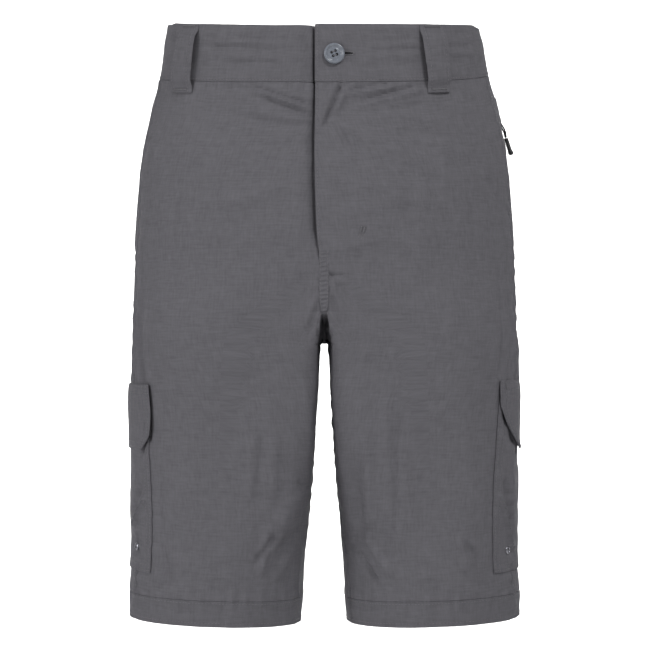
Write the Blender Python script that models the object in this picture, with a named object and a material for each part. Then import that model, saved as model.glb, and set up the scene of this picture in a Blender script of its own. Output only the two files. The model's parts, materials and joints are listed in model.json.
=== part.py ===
"""Convertible trousers with the lower legs zipped off, so worn as shorts.

The garment is filled out as if worn, and hangs from its waist. The wearer's left is +X and
the front faces -Y. The origin is the middle of the waist opening, half way up the waistband
at the sides. Sizes are in millimetres until a mesh is made.
"""
import math

import bmesh
import bpy
import numpy as np
from mathutils import Matrix, Vector

MM = 0.001

# Cloth and seams
CLOTH = 1.5                 # wall of a front or back
BAND_CLOTH = 2.4            # waistband, two layers and its interfacing
HEM_CLOTH = 2.0             # hem band, folded double
SEAM_GAP = 0.3
TAPE = 1.2                  # zip tape
HEM_TAPE_DROP = (1.0, 3.0)  # of a hem zip tape's two edges below the band's rows
LAP_GAP = 0.7               # under a piece that lies across another's facets

# Heights
WAIST_TOP_Z = 26.0
WAIST_SEAM_Z = -23.0
HOOK_Z = -235.0             # the crotch seam starts to turn under here
FORK_Z = -273.0
HEM_SEAM_Z = -507.0
HEM_Z = -530.0
TILT_END_Z = -150.0           # the waist seam's slope has faded out here

# The waist slopes down to the front, and a little more on the wearer's right.
EDGE_COLUMNS = ("at_side", "at_front", "at_back")
WAIST_TOP = {"left": (24.4, 13.4, 36.0), "right": (27.0, 11.0, 36.0)}
WAIST_SEAM = {"left": (-20.7, -38.6, -14.0), "right": (-25.4, -38.6, -14.0)}
HEM_SLOPE = 0.035           # the hem is higher on the outside of each leg
LEG_MIDDLE_X = 102.0

# Each row is a level section of one half of the garment.
SECTION_COLUMNS = ("z", "half_width", "front_depth", "back_depth", "front_power",
                   "back_power", "seam_forward")
SECTIONS = (
    (40.0, 143.5, 96.0, 103.0, 2.45, 2.3, 32.0),
    (26.0, 145.8, 97.0, 104.0, 2.45, 2.3, 32.0),
    (11.0, 149.3, 98.5, 105.0, 2.45, 2.3, 32.0),
    (-8.0, 151.8, 99.5, 107.0, 2.45, 2.3, 32.0),
    (-26.0, 154.8, 101.0, 110.0, 2.45, 2.3, 33.0),
    (-45.0, 159.8, 103.0, 114.0, 2.45, 2.3, 35.0),
    (-64.0, 164.3, 105.0, 119.0, 2.45, 2.3, 36.0),
    (-90.0, 169.3, 108.0, 126.0, 2.45, 2.3, 35.0),
    (-120.0, 173.2, 111.0, 132.0, 2.45, 2.3, 34.0),
    (-158.0, 176.2, 112.0, 135.0, 2.4, 2.3, 32.0),
    (-196.0, 178.0, 110.5, 133.0, 2.4, 2.3, 31.0),
    (-235.0, 179.0, 107.0, 127.0, 2.35, 2.3, 34.0),
    (-273.0, 179.8, 103.0, 120.0, 2.3, 2.25, 38.0),
    (-308.0, 180.3, 99.0, 113.0, 2.3, 2.2, 42.0),
    (-340.0, 179.4, 96.0, 108.0, 2.3, 2.2, 45.0),
    (-371.0, 178.6, 93.0, 104.0, 2.3, 2.2, 45.0),
    (-425.0, 178.8, 88.0, 97.0, 2.25, 2.2, 44.0),
    (-470.0, 179.8, 84.0, 91.0, 2.2, 2.2, 41.0),
    (-507.0, 182.0, 81.0, 86.5, 2.2, 2.2, 38.0),
    (-540.0, 182.8, 79.0, 84.0, 2.2, 2.2, 36.0),
)

# Half the gap between the legs, and how far forward the inseam lies
INNER_COLUMNS = ("z", "half_gap", "inseam_forward")
INNER_LEG = (
    (-273.0, 0.15, 0.0),
    (-281.0, 1.8, 0.5),
    (-290.0, 3.4, 2.0),
    (-327.0, 6.6, 8.0),
    (-383.0, 10.8, 21.0),
    (-440.0, 15.0, 29.0),
    (-507.0, 20.2, 31.0),
    (-540.0, 22.6, 31.0),
)

# The lapped edge of the fly, then the crotch seam, in X
FLY_COLUMNS = ("z", "x")
FLY_EDGE = ((40.0, -7.8), (-30.0, -7.8), (-92.0, -8.4), (-160.0, -7.0), (-186.0, -5.0),
            (-205.0, -1.5), (-218.0, 0.0), (-240.0, 0.0))
CROTCH_RAMP = {"front": 80.0, "back": 125.0}
CROTCH_POWER = 1.6
LOW_TURN = {"front": 0.68, "back": 0.70}     # share of half a turn, down the leg
LOW_TURN_Z = -335.0
HOOK_FADE_Z = -360.0

# Heights of the rows of points, at the side
BAND_ROWS = (WAIST_TOP_Z, 12.0, -4.0, WAIST_SEAM_Z)
PANEL_ROWS = (WAIST_SEAM_Z, -36.0, -52.0, -70.0, -92.0, -116.0, -140.0, -164.0, -186.0, -205.0,
              -220.0, -235.0, -247.0, -260.0, -275.0, -292.0, -310.0, -322.0, -338.0,
              -354.0, -371.0, -390.0, -409.0, -428.0, -447.0, -467.0, -487.0,
              HEM_SEAM_Z)
HEM_ROWS = (HEM_SEAM_Z, -518.0, HEM_Z)
FRONT_STEPS = (0.0, 11.0, 21.5, 32.0)        # columns ahead of the side seam
BACK_STEPS = tuple(14.0 * i for i in range(11))   # columns behind it, to the pocket's edge
FRONT_REST, BACK_REST = 11, 7
FRONT_HOOK, BACK_HOOK = 5, 5

# Largest folds, from one end to the other, seen from the front or the back
FOLD_COLUMNS = ("face", "x0", "z0", "x1", "z1", "width", "height")
FOLDS = (
    ("front", -16.0, -395.0, -60.0, -478.0, 9.0, 3.0),
    ("front", -8.0, -425.0, -40.0, -470.0, 8.0, -2.5),
    ("front", 24.0, -455.0, 56.0, -495.0, 8.0, 3.2),
    ("front", 22.0, -360.0, 27.0, -470.0, 10.0, -3.0),
    ("front", 62.0, -290.0, 60.0, -470.0, 16.0, 2.4),
    ("front", -58.0, -310.0, -52.0, -420.0, 16.0, 2.2),
    ("front", -105.0, -330.0, -100.0, -470.0, 20.0, -1.8),
    ("front", 108.0, -320.0, 104.0, -480.0, 20.0, -1.8),
    ("front", -152.0, -82.0, -168.0, -128.0, 7.0, 2.0),
    ("front", 20.0, -34.0, 6.0, -70.0, 7.0, 2.0),
    ("front", -70.0, -40.0, -20.0, -60.0, 8.0, 1.6),
    ("front", -6.0, -205.0, -44.0, -262.0, 10.0, -2.0),
    ("front", 6.0, -205.0, 46.0, -265.0, 10.0, -2.0),
    ("back", -70.0, -180.0, -20.0, -232.0, 12.0, 2.4),
    ("back", 66.0, -190.0, 18.0, -236.0, 12.0, 2.4),
    ("back", -128.0, -262.0, -40.0, -300.0, 12.0, -3.2),
    ("back", 124.0, -270.0, 44.0, -306.0, 12.0, -3.2),
    ("back", -132.0, -292.0, -58.0, -326.0, 11.0, 2.6),
    ("back", 130.0, -300.0, 60.0, -334.0, 11.0, 2.6),
    ("back", -112.0, -380.0, -104.0, -490.0, 16.0, 2.2),
    ("back", 110.0, -372.0, 98.0, -485.0, 16.0, 2.2),
    ("back", -64.0, -400.0, -70.0, -495.0, 13.0, -2.4),
    ("back", 62.0, -395.0, 66.0, -490.0, 13.0, -2.4),
)

FOLD_FADE = 0.35            # share of a fold's length over which each end dies out
FOLD_FACING = 0.6           # a fold fades where the cloth turns this far from its face

# Where the wearer's right dips under the lap of the wearer's left
LAP_DIP = {"band": 3.2, "panel": 1.6}
LAP_DIP_START, LAP_DIP_END = 9.0, 24.0
FOLD_ROOM = 0.2             # the deepest trough next to the fly
UNDERLAP_X = (30.0, 22.0, 12.0, 2.0, -4.0)

# Cargo pockets and flaps, round the leg from the side seam
POCKET_ROWS = (-322.0, -487.0)
POCKET_PUFF = 1.8
POCKET_CREASE = 1.3
POCKET_CREASE_LEAN = {"left": 0.16, "right": 0.10}
FLAP_COLUMNS = ("z", "front_left", "front_right", "back", "lift")
FLAP = (
    (-309.5, -33.0, -33.0, 141.5, 0.0),
    (-316.0, -33.0, -33.0, 141.5, 2.0),
    (-324.0, -31.5, -32.5, 141.5, 3.2),
    (-340.0, -24.0, -31.0, 141.5, 3.6),
    (-356.0, -10.0, -26.0, 141.5, 3.8),
    (-371.0, 12.0, -14.0, 138.0, 3.9),
)
FLAP_CLOTH = 1.6
FLAP_CORNER_LIFT = {"left": 2.4, "right": 1.2}

# Belt loops: middle at the top and at the bottom, in X
LOOP_WIDTH = 20.0
LOOP_CLOTH = 1.6
LOOP_STANDOFF = 3.0
LOOP_BELOW_SEAM = 11.0
LOOP_COLUMNS = ("name", "face", "top_x", "bottom_x")
LOOPS = (
    ("belt_loop_front_right", "front", -124.0, -131.0),
    ("belt_loop_front_left", "front", 95.0, 103.0),
    ("belt_loop_back_right", "back", -96.0, -98.0),
    ("belt_loop_back_left", "back", 96.0, 98.0),
    ("belt_loop_centre_back", "back", 0.0, 0.0),
)
LOOP_PROFILE_COLUMNS = ("share_down", "out")
LOOP_PROFILE = ((0.0, 0.0), (0.09, 0.0), (0.17, 0.9), (0.32, 1.0), (0.50, 1.0),
                (0.70, 1.0), (0.83, 0.9), (0.91, 0.0), (1.0, 0.0))

# Hip pockets, down the side just behind the widest line
HIP_TOP_Z, HIP_BOTTOM_Z = -50.0, -188.0
HIP_TOP_S, HIP_BOTTOM_S = 66.0, 50.0
WELT_WIDTH, ZIP_WIDTH = 9.0, 7.0
WELT_CLOTH, ZIP_CLOTH = 1.4, 0.8

# Fly
SHIELD_X = (-26.0, 20.0)
FLY_ZIP_X = (-21.0, 11.0)
FLY_Z = (-46.0, -180.0)

# Hardware
BUTTON_R, BUTTON_T, BUTTON_RIM = 9.4, 3.2, 1.9
BUTTON_X, BUTTON_Z = 7.8, -13.0
BUTTON_HOLE_R, BUTTON_HOLE_OUT, BUTTON_TURN = 1.0, 2.3, 23.0
BUTTON_SEAT_LEVEL = 1.0     # the level line of the band behind the button
SHANK_R, SHANK_T = 1.1, 0.6
EYELET_R, EYELET_BORE, EYELET_T = 3.8, 1.9, 1.1
EYELETS = {"left": (167.5, -464.5), "right": (-171.5, -462.0)}
SLIDER_Z = -65.0
SLIDER_OUT = LAP_GAP + ZIP_CLOTH + SEAM_GAP
SLIDER_BODY = (1.8, 6.0, 10.0)               # out of the cloth, across, down
CROWN_WIDTH, CROWN_LEG, CROWN_HALF = 1.6, 1.0, 3.3
CROWN_BORE = 2.1
CORD_D, CORD_TURN_R = 1.5, 3.0

# The pull cord from the crown's hole down, as out, across, down; both strands match
CORD_STRAND = ((0.8, 3.0, 5.5), (2.0, 2.9, 8.5), (3.0, 2.5, 12.0), (3.2, 1.9, 15.0),
               (3.0, 1.45, 18.0))
GRIP_COLUMNS = ("down", "out", "thick", "wide")
GRIP = ((18.4, 3.0, 2.8, 4.4), (19.2, 3.1, 3.6, 5.2), (24.0, 3.7, 3.7, 5.4),
        (30.0, 4.4, 3.8, 5.6), (33.0, 4.9, 4.6, 6.4), (34.6, 5.0, 4.4, 6.2),
        (35.4, 5.0, 3.2, 5.0))


# ---------------------------------------------------------------- curves and sections

def column(table, columns, name):
    """One named column of a table, as an array."""
    return np.array([row[columns.index(name)] for row in table], float)


def smooth_curve(at, knots, values):
    """A smooth curve through the knots that never overshoots them."""
    order = np.argsort(knots)
    x, y = np.asarray(knots, float)[order], np.asarray(values, float)[order]
    step = np.diff(x)
    slope = np.diff(y) / step
    tangent = np.zeros_like(y)
    same_way = slope[:-1] * slope[1:] > 0
    w0, w1 = 2 * step[1:] + step[:-1], step[1:] + 2 * step[:-1]
    with np.errstate(divide="ignore", invalid="ignore"):
        mean = (w0 + w1) / (w0 / slope[:-1] + w1 / slope[1:])
    tangent[1:-1] = np.where(same_way, mean, 0.0)
    tangent[0], tangent[-1] = slope[0], slope[-1]
    at = np.clip(np.asarray(at, float), x[0], x[-1])
    i = np.clip(np.searchsorted(x, at) - 1, 0, len(step) - 1)
    t = (at - x[i]) / step[i]
    return ((1 + 2 * t) * (1 - t) ** 2 * y[i] + t * (1 - t) ** 2 * step[i] * tangent[i]
            + t * t * (3 - 2 * t) * y[i + 1] + t * t * (t - 1) * step[i] * tangent[i + 1])


def ease(t):
    t = np.clip(t, 0.0, 1.0)
    return t * t * (3 - 2 * t)


def section(z, name):
    return float(smooth_curve(z, column(SECTIONS, SECTION_COLUMNS, "z"),
                              column(SECTIONS, SECTION_COLUMNS, name)))


def inner_leg(z, name):
    return float(smooth_curve(z, column(INNER_LEG, INNER_COLUMNS, "z"),
                              column(INNER_LEG, INNER_COLUMNS, name)))


def fly_edge(z):
    return float(smooth_curve(z, column(FLY_EDGE, FLY_COLUMNS, "z"),
                              column(FLY_EDGE, FLY_COLUMNS, "x")))


def oval(z, face):
    """Centre, half width, depth and power of one half's section, front or back.

    It is the whole body's oval high up, and the leg's own oval below the fork.
    """
    half = section(z, "half_width")
    if z > FORK_Z:
        rise = (FORK_Z + CROTCH_RAMP[face] - z) / CROTCH_RAMP[face]
        share = float(np.clip(rise, 0.0, 1.0)) ** CROTCH_POWER
        width = half / (1 + share)
        centre = half - width
    else:
        gap = inner_leg(z, "half_gap")
        width, centre = (half - gap) / 2, (half + gap) / 2
    return centre, width, section(z, face + "_depth"), section(z, face + "_power")


def on_section(z, turn):
    """The point at a turn round the section: 0 outside, -90 degrees front, 90 back."""
    turn = (turn + math.pi) % (2 * math.pi) - math.pi
    centre, width, depth, power = oval(z, "front" if turn < 0 else "back")
    c, s = math.cos(turn), math.sin(turn)
    x = centre + width * math.copysign(abs(c) ** (2 / power), c)
    return x, math.copysign(depth * abs(s) ** (2 / power), s)


def turn_at_x(z, face, x):
    """The size of the turn at which the section reaches x."""
    centre, width, _, power = oval(z, face)
    share = np.clip((x - centre) / width, -1.0, 1.0)
    return math.acos(math.copysign(abs(share) ** (power / 2), share))


def turn_at_depth(z, y):
    """The turn, on the outside and ahead of the middle, at which it is y forward."""
    _, _, depth, power = oval(z, "front")
    return math.asin(min(1.0, y / depth) ** (power / 2))


def end_turn(z, face, edge):
    """Where a front or back ends: at its edge above the fork, at the inseam below."""
    if z > FORK_Z:
        return turn_at_x(z, face, edge)
    lead = turn_at_depth(z, inner_leg(z, "inseam_forward"))
    return math.pi - lead if face == "front" else math.pi + lead


def hook_turn(z, face):
    """The turn that the middle line follows down the leg, below the hook's start."""
    start = turn_at_x(HOOK_Z, face, SEAM_GAP / 2)
    low = LOW_TURN[face] * math.pi
    return start + (low - start) * float(ease((HOOK_Z - z) / (HOOK_Z - LOW_TURN_Z)))


def hook_height(face, turn):
    """The height at which the crotch seam passes a turn."""
    heights = np.linspace(HOOK_Z, FORK_Z, 120)
    turns = [turn_at_x(z, face, 0.0) for z in heights]
    return float(np.interp(turn, turns, heights))


# ---------------------------------------------------------------- one half of the shell

def level_line(z, edge, samples=260):
    """Turns along one level, and how far each lies round from the side seam."""
    first = -end_turn(z, "front", edge["front"])
    last = end_turn(z, "back", edge["back"])
    if z <= HOOK_Z:
        first, last = -hook_turn(z, "front"), hook_turn(z, "back")
    turns = np.linspace(first, last, samples)
    points = np.array([on_section(z, t) for t in turns])
    run = np.concatenate([[0.0], np.cumsum(np.hypot(*np.diff(points, axis=0).T))])
    seam = np.interp(-turn_at_depth(z, section(z, "seam_forward")), turns, run)
    return turns, run - seam


def steps_to(end, fixed, rest):
    """Fixed steps from the side seam, then even ones to the end."""
    fixed = np.array(fixed)
    return np.concatenate([fixed, np.linspace(fixed[-1], end, rest + 1)[1:]])


def level_tilt(side, x, y, z):
    """How far a point of a level is moved up or down by the sloping waist and hem."""
    def edge_height(edge):
        at_side, at_front, at_back = edge[side]
        if y < 0:
            return at_side + (at_front - at_side) * min(1.0, -y / section(z, "front_depth"))
        return at_side + (at_back - at_side) * min(1.0, y / section(z, "back_depth"))
    top = edge_height(WAIST_TOP) - WAIST_TOP_Z
    seam = edge_height(WAIST_SEAM) - WAIST_SEAM_Z
    if z > WAIST_SEAM_Z:
        share = (z - WAIST_SEAM_Z) / (WAIST_TOP_Z - WAIST_SEAM_Z)
        return seam + (top - seam) * share
    hem = HEM_SLOPE * (x - LEG_MIDDLE_X) * float(ease((FORK_Z - z) / (FORK_Z - HEM_Z)))
    return seam * float(ease((z - TILT_END_Z) / (WAIST_SEAM_Z - TILT_END_Z))) + hem


def fold_relief(points, normals):
    """How far the folds and the lap's dip push each point out."""
    out = np.zeros(points.shape[:-1])
    x, z = points[..., 0], points[..., 2]
    for row in FOLDS:
        fold = dict(zip(FOLD_COLUMNS, row))
        facing = normals[..., 1] * (-1 if fold["face"] == "front" else 1)
        dx, dz = fold["x1"] - fold["x0"], fold["z1"] - fold["z0"]
        run = math.hypot(dx, dz)
        along = ((x - fold["x0"]) * dx + (z - fold["z0"]) * dz) / run
        across = ((x - fold["x0"]) * dz - (z - fold["z0"]) * dx) / run
        fade = FOLD_FADE * run
        middle = ease(along / fade) * ease((run - along) / fade)
        out += (fold["height"] * np.exp(-(across / fold["width"]) ** 2) * middle
                * ease(facing / FOLD_FACING))
    return out


def lap_dip(points, levels):
    """The wearer's right front dips under the lapped edge of the left."""
    depth = np.where(levels > WAIST_SEAM_Z - 1, LAP_DIP["band"], LAP_DIP["panel"])
    near = ease((LAP_DIP_END + points[..., 0]) / (LAP_DIP_END - LAP_DIP_START))
    ahead = points[..., 1] < 0
    return -depth * near * ahead * (levels > HOOK_Z + 30) * (points[..., 0] < 0)


def grid_normals(points, keep, ring_from, flip):
    """Outward normals at the points, from the cells around each one."""
    total = np.zeros_like(points)
    rows, cols = keep.shape
    for r in range(rows):
        for c in range(cols):
            if keep[r, c]:
                a, b = points[r, c], points[r + 1, c]
                d, e = points[r + 1, c + 1], points[r, c + 1]
                face = np.cross(d - a, e - b)
                for i, j in ((r, c), (r + 1, c), (r + 1, c + 1), (r, c + 1)):
                    total[i, j] += face
    joined = total[ring_from:, 0] + total[ring_from:, -1]
    total[ring_from:, 0] = total[ring_from:, -1] = joined
    size = np.linalg.norm(total, axis=-1, keepdims=True)
    return flip * total / np.maximum(size, 1e-9)


class Half:
    """The outer surface of one half of the garment, as a grid of points.

    Columns run from the inseam or centre front, round the outside, to the centre back or
    inseam. Rows run from the waist down. The columns of the inner leg start at the hook.
    """

    def __init__(self, side):
        self.side = side
        self.sign = 1 if side == "left" else -1
        self.levels = np.array(BAND_ROWS + PANEL_ROWS[1:] + HEM_ROWS[1:])
        self.seam_row = len(BAND_ROWS) - 1
        self.hook_row = int(np.argmin(abs(self.levels - HOOK_Z)))
        self.hem_row = self.seam_row + len(PANEL_ROWS) - 1
        self.front_col = FRONT_HOOK
        self.side_col = FRONT_HOOK + len(FRONT_STEPS) - 1 + FRONT_REST
        self.back_col = self.side_col + len(BACK_STEPS) - 1 + BACK_REST
        cols = self.back_col + BACK_HOOK + 1
        self.points = np.zeros((len(self.levels), cols, 3))
        self.round = np.zeros((len(self.levels), cols))
        self.keep = np.ones((len(self.levels) - 1, cols - 1), bool)
        self.keep[:self.hook_row, :self.front_col] = False
        self.keep[:self.hook_row, self.back_col:] = False
        for row, z in enumerate(self.levels):
            self.lay_main(row, z)
            if row >= self.hook_row:
                self.lay_inner(row, z, "front")
                self.lay_inner(row, z, "back")
        self.finish()

    def edge(self, z):
        return {"front": self.sign * fly_edge(z) + SEAM_GAP / 2, "back": SEAM_GAP / 2}

    def place(self, z, turn):
        x, y = on_section(z, turn)
        return self.sign * x, y, z + level_tilt(self.side, x, y, z)

    def lay_main(self, row, z):
        turns, run = level_line(z, self.edge(z))
        ahead = steps_to(-run[0], FRONT_STEPS, FRONT_REST)[::-1]
        behind = steps_to(run[-1], BACK_STEPS, BACK_REST)
        stops = np.concatenate([-ahead, behind[1:]])
        for i, s in enumerate(stops):
            self.points[row, self.front_col + i] = self.place(z, np.interp(s, run, turns))
            self.round[row, self.front_col + i] = s

    def lay_inner(self, row, z, face):
        count = FRONT_HOOK if face == "front" else BACK_HOOK
        start = turn_at_x(HOOK_Z, face, SEAM_GAP / 2)
        fade = float(ease((z - HOOK_FADE_Z) / (HOOK_Z - HOOK_FADE_Z)))
        for i in range(1, count + 1):
            share = i / count
            hook = start + share * (math.pi - start)
            here = z + (hook_height(face, hook) - HOOK_Z) * fade
            turn = hook
            if row > self.hook_row:
                first = hook_turn(here, face)
                last = end_turn(here, face, 0.0) if here <= FORK_Z else math.pi
                turn = first + share * (last - first)
            if face == "front":
                self.points[row, self.front_col - i] = self.place(here, -turn)
            else:
                self.points[row, self.back_col + i] = self.place(here, turn)

    def finish(self):
        flip = self.sign
        bare = grid_normals(self.points, self.keep, self.hook_row, flip)
        relief = fold_relief(self.points, bare)
        if self.side == "right":
            relief += lap_dip(self.points, self.levels[:, None])
        self.points += bare * relief[..., None]
        self.normals = grid_normals(self.points, self.keep, self.hook_row, flip)
        inner = self.points[self.hook_row:]
        inner[..., 0] = self.sign * np.maximum(self.sign * inner[..., 0], SEAM_GAP / 2)

    def on(self, s, z, out=0.0):
        """The point s round from the side seam at level z, moved out from the cloth."""
        row = int(np.clip(np.searchsorted(-self.levels, -z) - 1, 0, len(self.levels) - 2))
        share = (self.levels[row] - z) / (self.levels[row] - self.levels[row + 1])
        main = slice(self.front_col, self.back_col + 1)

        def along(r):
            spot = [np.interp(s, self.round[r, main], self.points[r, main, k])
                    for k in range(3)]
            way = [np.interp(s, self.round[r, main], self.normals[r, main, k])
                   for k in range(3)]
            return np.array(spot), np.array(way)
        (p0, n0), (p1, n1) = along(row), along(row + 1)
        way = n0 + (n1 - n0) * share
        way /= np.linalg.norm(way)
        return p0 + (p1 - p0) * share + way * out

    def way(self, s, z):
        return self.on(s, z, 1.0) - self.on(s, z)

    def round_at_x(self, face, x, z):
        """How far round from the side seam the front or back passes x, at level z."""
        cols = (slice(self.front_col, self.side_col + 1) if face == "front"
                else slice(self.side_col + 4, self.back_col + 1))
        way = 1 if face == "front" else -1
        found = [np.interp(abs(x), self.sign * self.points[row, cols, 0][::way],
                           self.round[row, cols][::way])
                 for row in range(len(self.levels))]
        return float(np.interp(-z, -self.levels, found))


# ---------------------------------------------------------------- solids

def material(name, colour, roughness, metallic=0.0):
    made = bpy.data.materials.new(name)
    made.use_nodes = True
    shader = made.node_tree.nodes["Principled BSDF"]
    shader.inputs["Base Color"].default_value = (*colour, 1.0)
    shader.inputs["Roughness"].default_value = roughness
    shader.inputs["Metallic"].default_value = metallic
    return made


FINISHES = {
    "cloth": ((0.125, 0.122, 0.135), 0.72, 0.0),
    "band_cloth": ((0.12, 0.117, 0.13), 0.72, 0.0),
    "zip_tape": ((0.035, 0.035, 0.04), 0.8, 0.0),
    "zip_metal": ((0.10, 0.10, 0.11), 0.38, 1.0),
    "button_plastic": ((0.17, 0.185, 0.21), 0.28, 0.0),
    "eyelet_metal": ((0.12, 0.12, 0.13), 0.35, 1.0),
    "pull_cord": ((0.015, 0.015, 0.018), 0.75, 0.0),
    "grip_plastic": ((0.018, 0.018, 0.02), 0.45, 0.0),
}


def add(name, mesh, finish):
    """Make the named object, with a material of its own."""
    mesh.materials.append(material(name + "_material", *FINISHES[finish]))
    made = bpy.data.objects.new(name, mesh)
    bpy.context.scene.collection.objects.link(made)
    return made


def add_bmesh(name, work, finish, turn=None):
    if turn is not None:
        bmesh.ops.transform(work, matrix=turn, verts=work.verts)
    bmesh.ops.scale(work, vec=(MM, MM, MM), verts=work.verts)
    bmesh.ops.recalc_face_normals(work, faces=work.faces)
    mesh = bpy.data.meshes.new(name)
    work.to_mesh(mesh)
    work.free()
    mesh.shade_smooth()
    mesh.set_sharp_from_angle(angle=math.radians(40))
    return add(name, mesh, finish)


def wall(name, outer, inner, finish, keep=None, ring=False):
    """Close two matching grids of points into one solid wall."""
    rows, cols = outer.shape[:2]
    across = cols if ring else cols - 1
    if keep is None:
        keep = np.ones((rows - 1, across), bool)
    work = bmesh.new()
    corners = {}

    def corner(skin, r, c):
        key = (skin, r, c % cols)
        if key not in corners:
            grid = outer if skin == "outer" else inner
            corners[key] = work.verts.new(grid[r, c % cols])
        return corners[key]

    def kept(r, c):
        if ring:
            c %= across
        return 0 <= r < rows - 1 and 0 <= c < across and keep[r, c]

    for r in range(rows - 1):
        for c in range(across):
            if not kept(r, c):
                continue
            loop = ((r, c), (r + 1, c), (r + 1, c + 1), (r, c + 1))
            work.faces.new([corner("outer", *rc) for rc in loop])
            work.faces.new([corner("inner", *rc) for rc in reversed(loop)])
            beside = (kept(r, c - 1), kept(r + 1, c), kept(r, c + 1), kept(r - 1, c))
            for i, joined in enumerate(beside):
                if not joined:
                    a, b = loop[i], loop[(i + 1) % 4]
                    work.faces.new([corner("outer", *b), corner("outer", *a),
                                    corner("inner", *a), corner("inner", *b)])
    return add_bmesh(name, work, finish)


def pull_in(grid, axis, end, distance):
    """Move one border of a grid of points towards the points beside it."""
    moved = grid.copy()
    index, beside = (0, 1) if end == "first" else (-1, -2)
    if axis == "rows":
        way = grid[beside] - grid[index]
    else:
        way = grid[:, beside] - grid[:, index]
    size = np.linalg.norm(way, axis=-1, keepdims=True)
    way = way / np.maximum(size, 1e-9) * distance
    if axis == "rows":
        moved[index] += way
    else:
        moved[:, index] += way
    return moved


def shelled(points, normals, thickness, out=0.0):
    """The outer and inner skins of cloth that lies at a distance out from the points."""
    return points + normals * (out + thickness), points + normals * out


def strip(half, name, finish, stops, width, thickness, out=LAP_GAP, across=2):
    """A strip that lies on a half along its stops, each (round, level)."""
    shares = np.linspace(-0.5, 0.5, across + 1)
    base = np.array([[half.on(s + share * width, z) for share in shares]
                     for s, z in stops])
    ways = np.array([[half.way(s + share * width, z) for share in shares]
                     for s, z in stops])
    outer, inner = shelled(base, ways, thickness, out)
    return wall(name, outer, inner, finish)


def between(a, b, count):
    return [a + (b - a) * i / count for i in range(count + 1)]


# ---------------------------------------------------------------- cloth pieces

def build_panels(half):
    """The front and the back of one half."""
    rows = slice(half.seam_row, half.hem_row + 1)
    keep = half.keep[half.seam_row:half.hem_row]
    hook = half.hook_row - half.seam_row
    for name, cols, inner_end in (("front", slice(0, half.side_col + 1), "first"),
                                  ("back", slice(half.side_col, None), "last")):
        points, normals = half.points[rows, cols], half.normals[rows, cols]
        skins = []
        for skin in (points, points - normals * CLOTH):
            side_end = "last" if inner_end == "first" else "first"
            skin = pull_in(skin, "cols", side_end, SEAM_GAP / 2)
            inseam = pull_in(skin, "cols", inner_end, SEAM_GAP / 2)
            skin[hook:] = inseam[hook:]
            skin = pull_in(skin, "rows", "first", SEAM_GAP / 2)
            skins.append(pull_in(skin, "rows", "last", SEAM_GAP / 2))
        part_keep = keep[:, :half.side_col] if name == "front" else keep[:, half.side_col:]
        wall(f"{name}_{half.side}", skins[0], skins[1], "cloth", part_keep)


def underlap(half):
    """Points of the band's underlap, which runs on beneath the lapped left half."""
    rows = []
    for z in BAND_ROWS:
        row = []
        for x in UNDERLAP_X:
            centre, width, depth, power = oval(z, "front")
            y = -depth * (1 - abs(x / width) ** power) ** (1 / power)
            height = z + level_tilt("left", abs(x), y, z)
            row.append((x, y + LAP_DIP["band"], height))
        rows.append(row)
    return np.array(rows)


def build_waistband(half):
    rows = slice(0, half.seam_row + 1)
    cols = slice(half.front_col, half.back_col + 1)
    points, normals = half.points[rows, cols], half.normals[rows, cols]
    if half.side == "right":
        lap = underlap(half)
        points = np.concatenate([lap, points], axis=1)
        ahead = np.tile([0.0, -1.0, 0.0], lap.shape[:2] + (1,))
        normals = np.concatenate([ahead, normals], axis=1)
    skins = []
    for skin in (points, points - normals * BAND_CLOTH):
        skins.append(pull_in(skin, "rows", "last", SEAM_GAP / 2))
    wall("waistband_" + half.side, skins[0], skins[1], "band_cloth")


def build_hem(half):
    """The band round the hem, and the zip half just inside it."""
    points, normals = half.points[half.hem_row:, :-1], half.normals[half.hem_row:, :-1]
    skins = [pull_in(skin, "rows", "first", SEAM_GAP / 2)
             for skin in (points, points - normals * HEM_CLOTH)]
    wall("hem_band_" + half.side, skins[0], skins[1], "band_cloth", ring=True)
    inset = HEM_CLOTH + SEAM_GAP
    tape = points[:2] - normals[:2] * inset
    tape[..., 2] -= np.array(HEM_TAPE_DROP)[:, None]
    wall("hem_zip_" + half.side, tape, tape - normals[:2] * TAPE, "zip_tape", ring=True)


def pocket_relief(side, s_share, z_share):
    """How far a cargo pocket's cloth stands off the leg."""
    dome = (np.sin(math.pi * s_share) * np.sin(math.pi * z_share)) ** 0.6
    lean = POCKET_CREASE_LEAN[side]
    crease = np.exp(-((s_share - 0.02 - lean * (1 - abs(2 * z_share - 1))) / 0.05) ** 2)
    edge = ease(np.minimum(z_share, 1 - z_share) / 0.25) * ease(s_share / 0.05)
    return POCKET_PUFF * dome + POCKET_CREASE * crease * edge


def build_cargo_pocket(half):
    first, last = (int(np.argmin(abs(half.levels - z))) for z in POCKET_ROWS)
    rows = slice(first, last + 1)
    cols = slice(half.side_col - len(FRONT_STEPS) + 1, half.side_col + len(BACK_STEPS))
    points, normals = half.points[rows, cols], half.normals[rows, cols]
    s = half.round[rows, cols]
    s_share = (s - s[:, :1]) / (s[:, -1:] - s[:, :1])
    z_share = ((half.levels[rows] - POCKET_ROWS[0]) / (POCKET_ROWS[1] - POCKET_ROWS[0]))
    stand = SEAM_GAP + pocket_relief(half.side, s_share, z_share[:, None])
    outer, inner = shelled(points, normals, CLOTH, stand[..., None])
    wall("cargo_pocket_" + half.side, outer, inner, "cloth")


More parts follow.
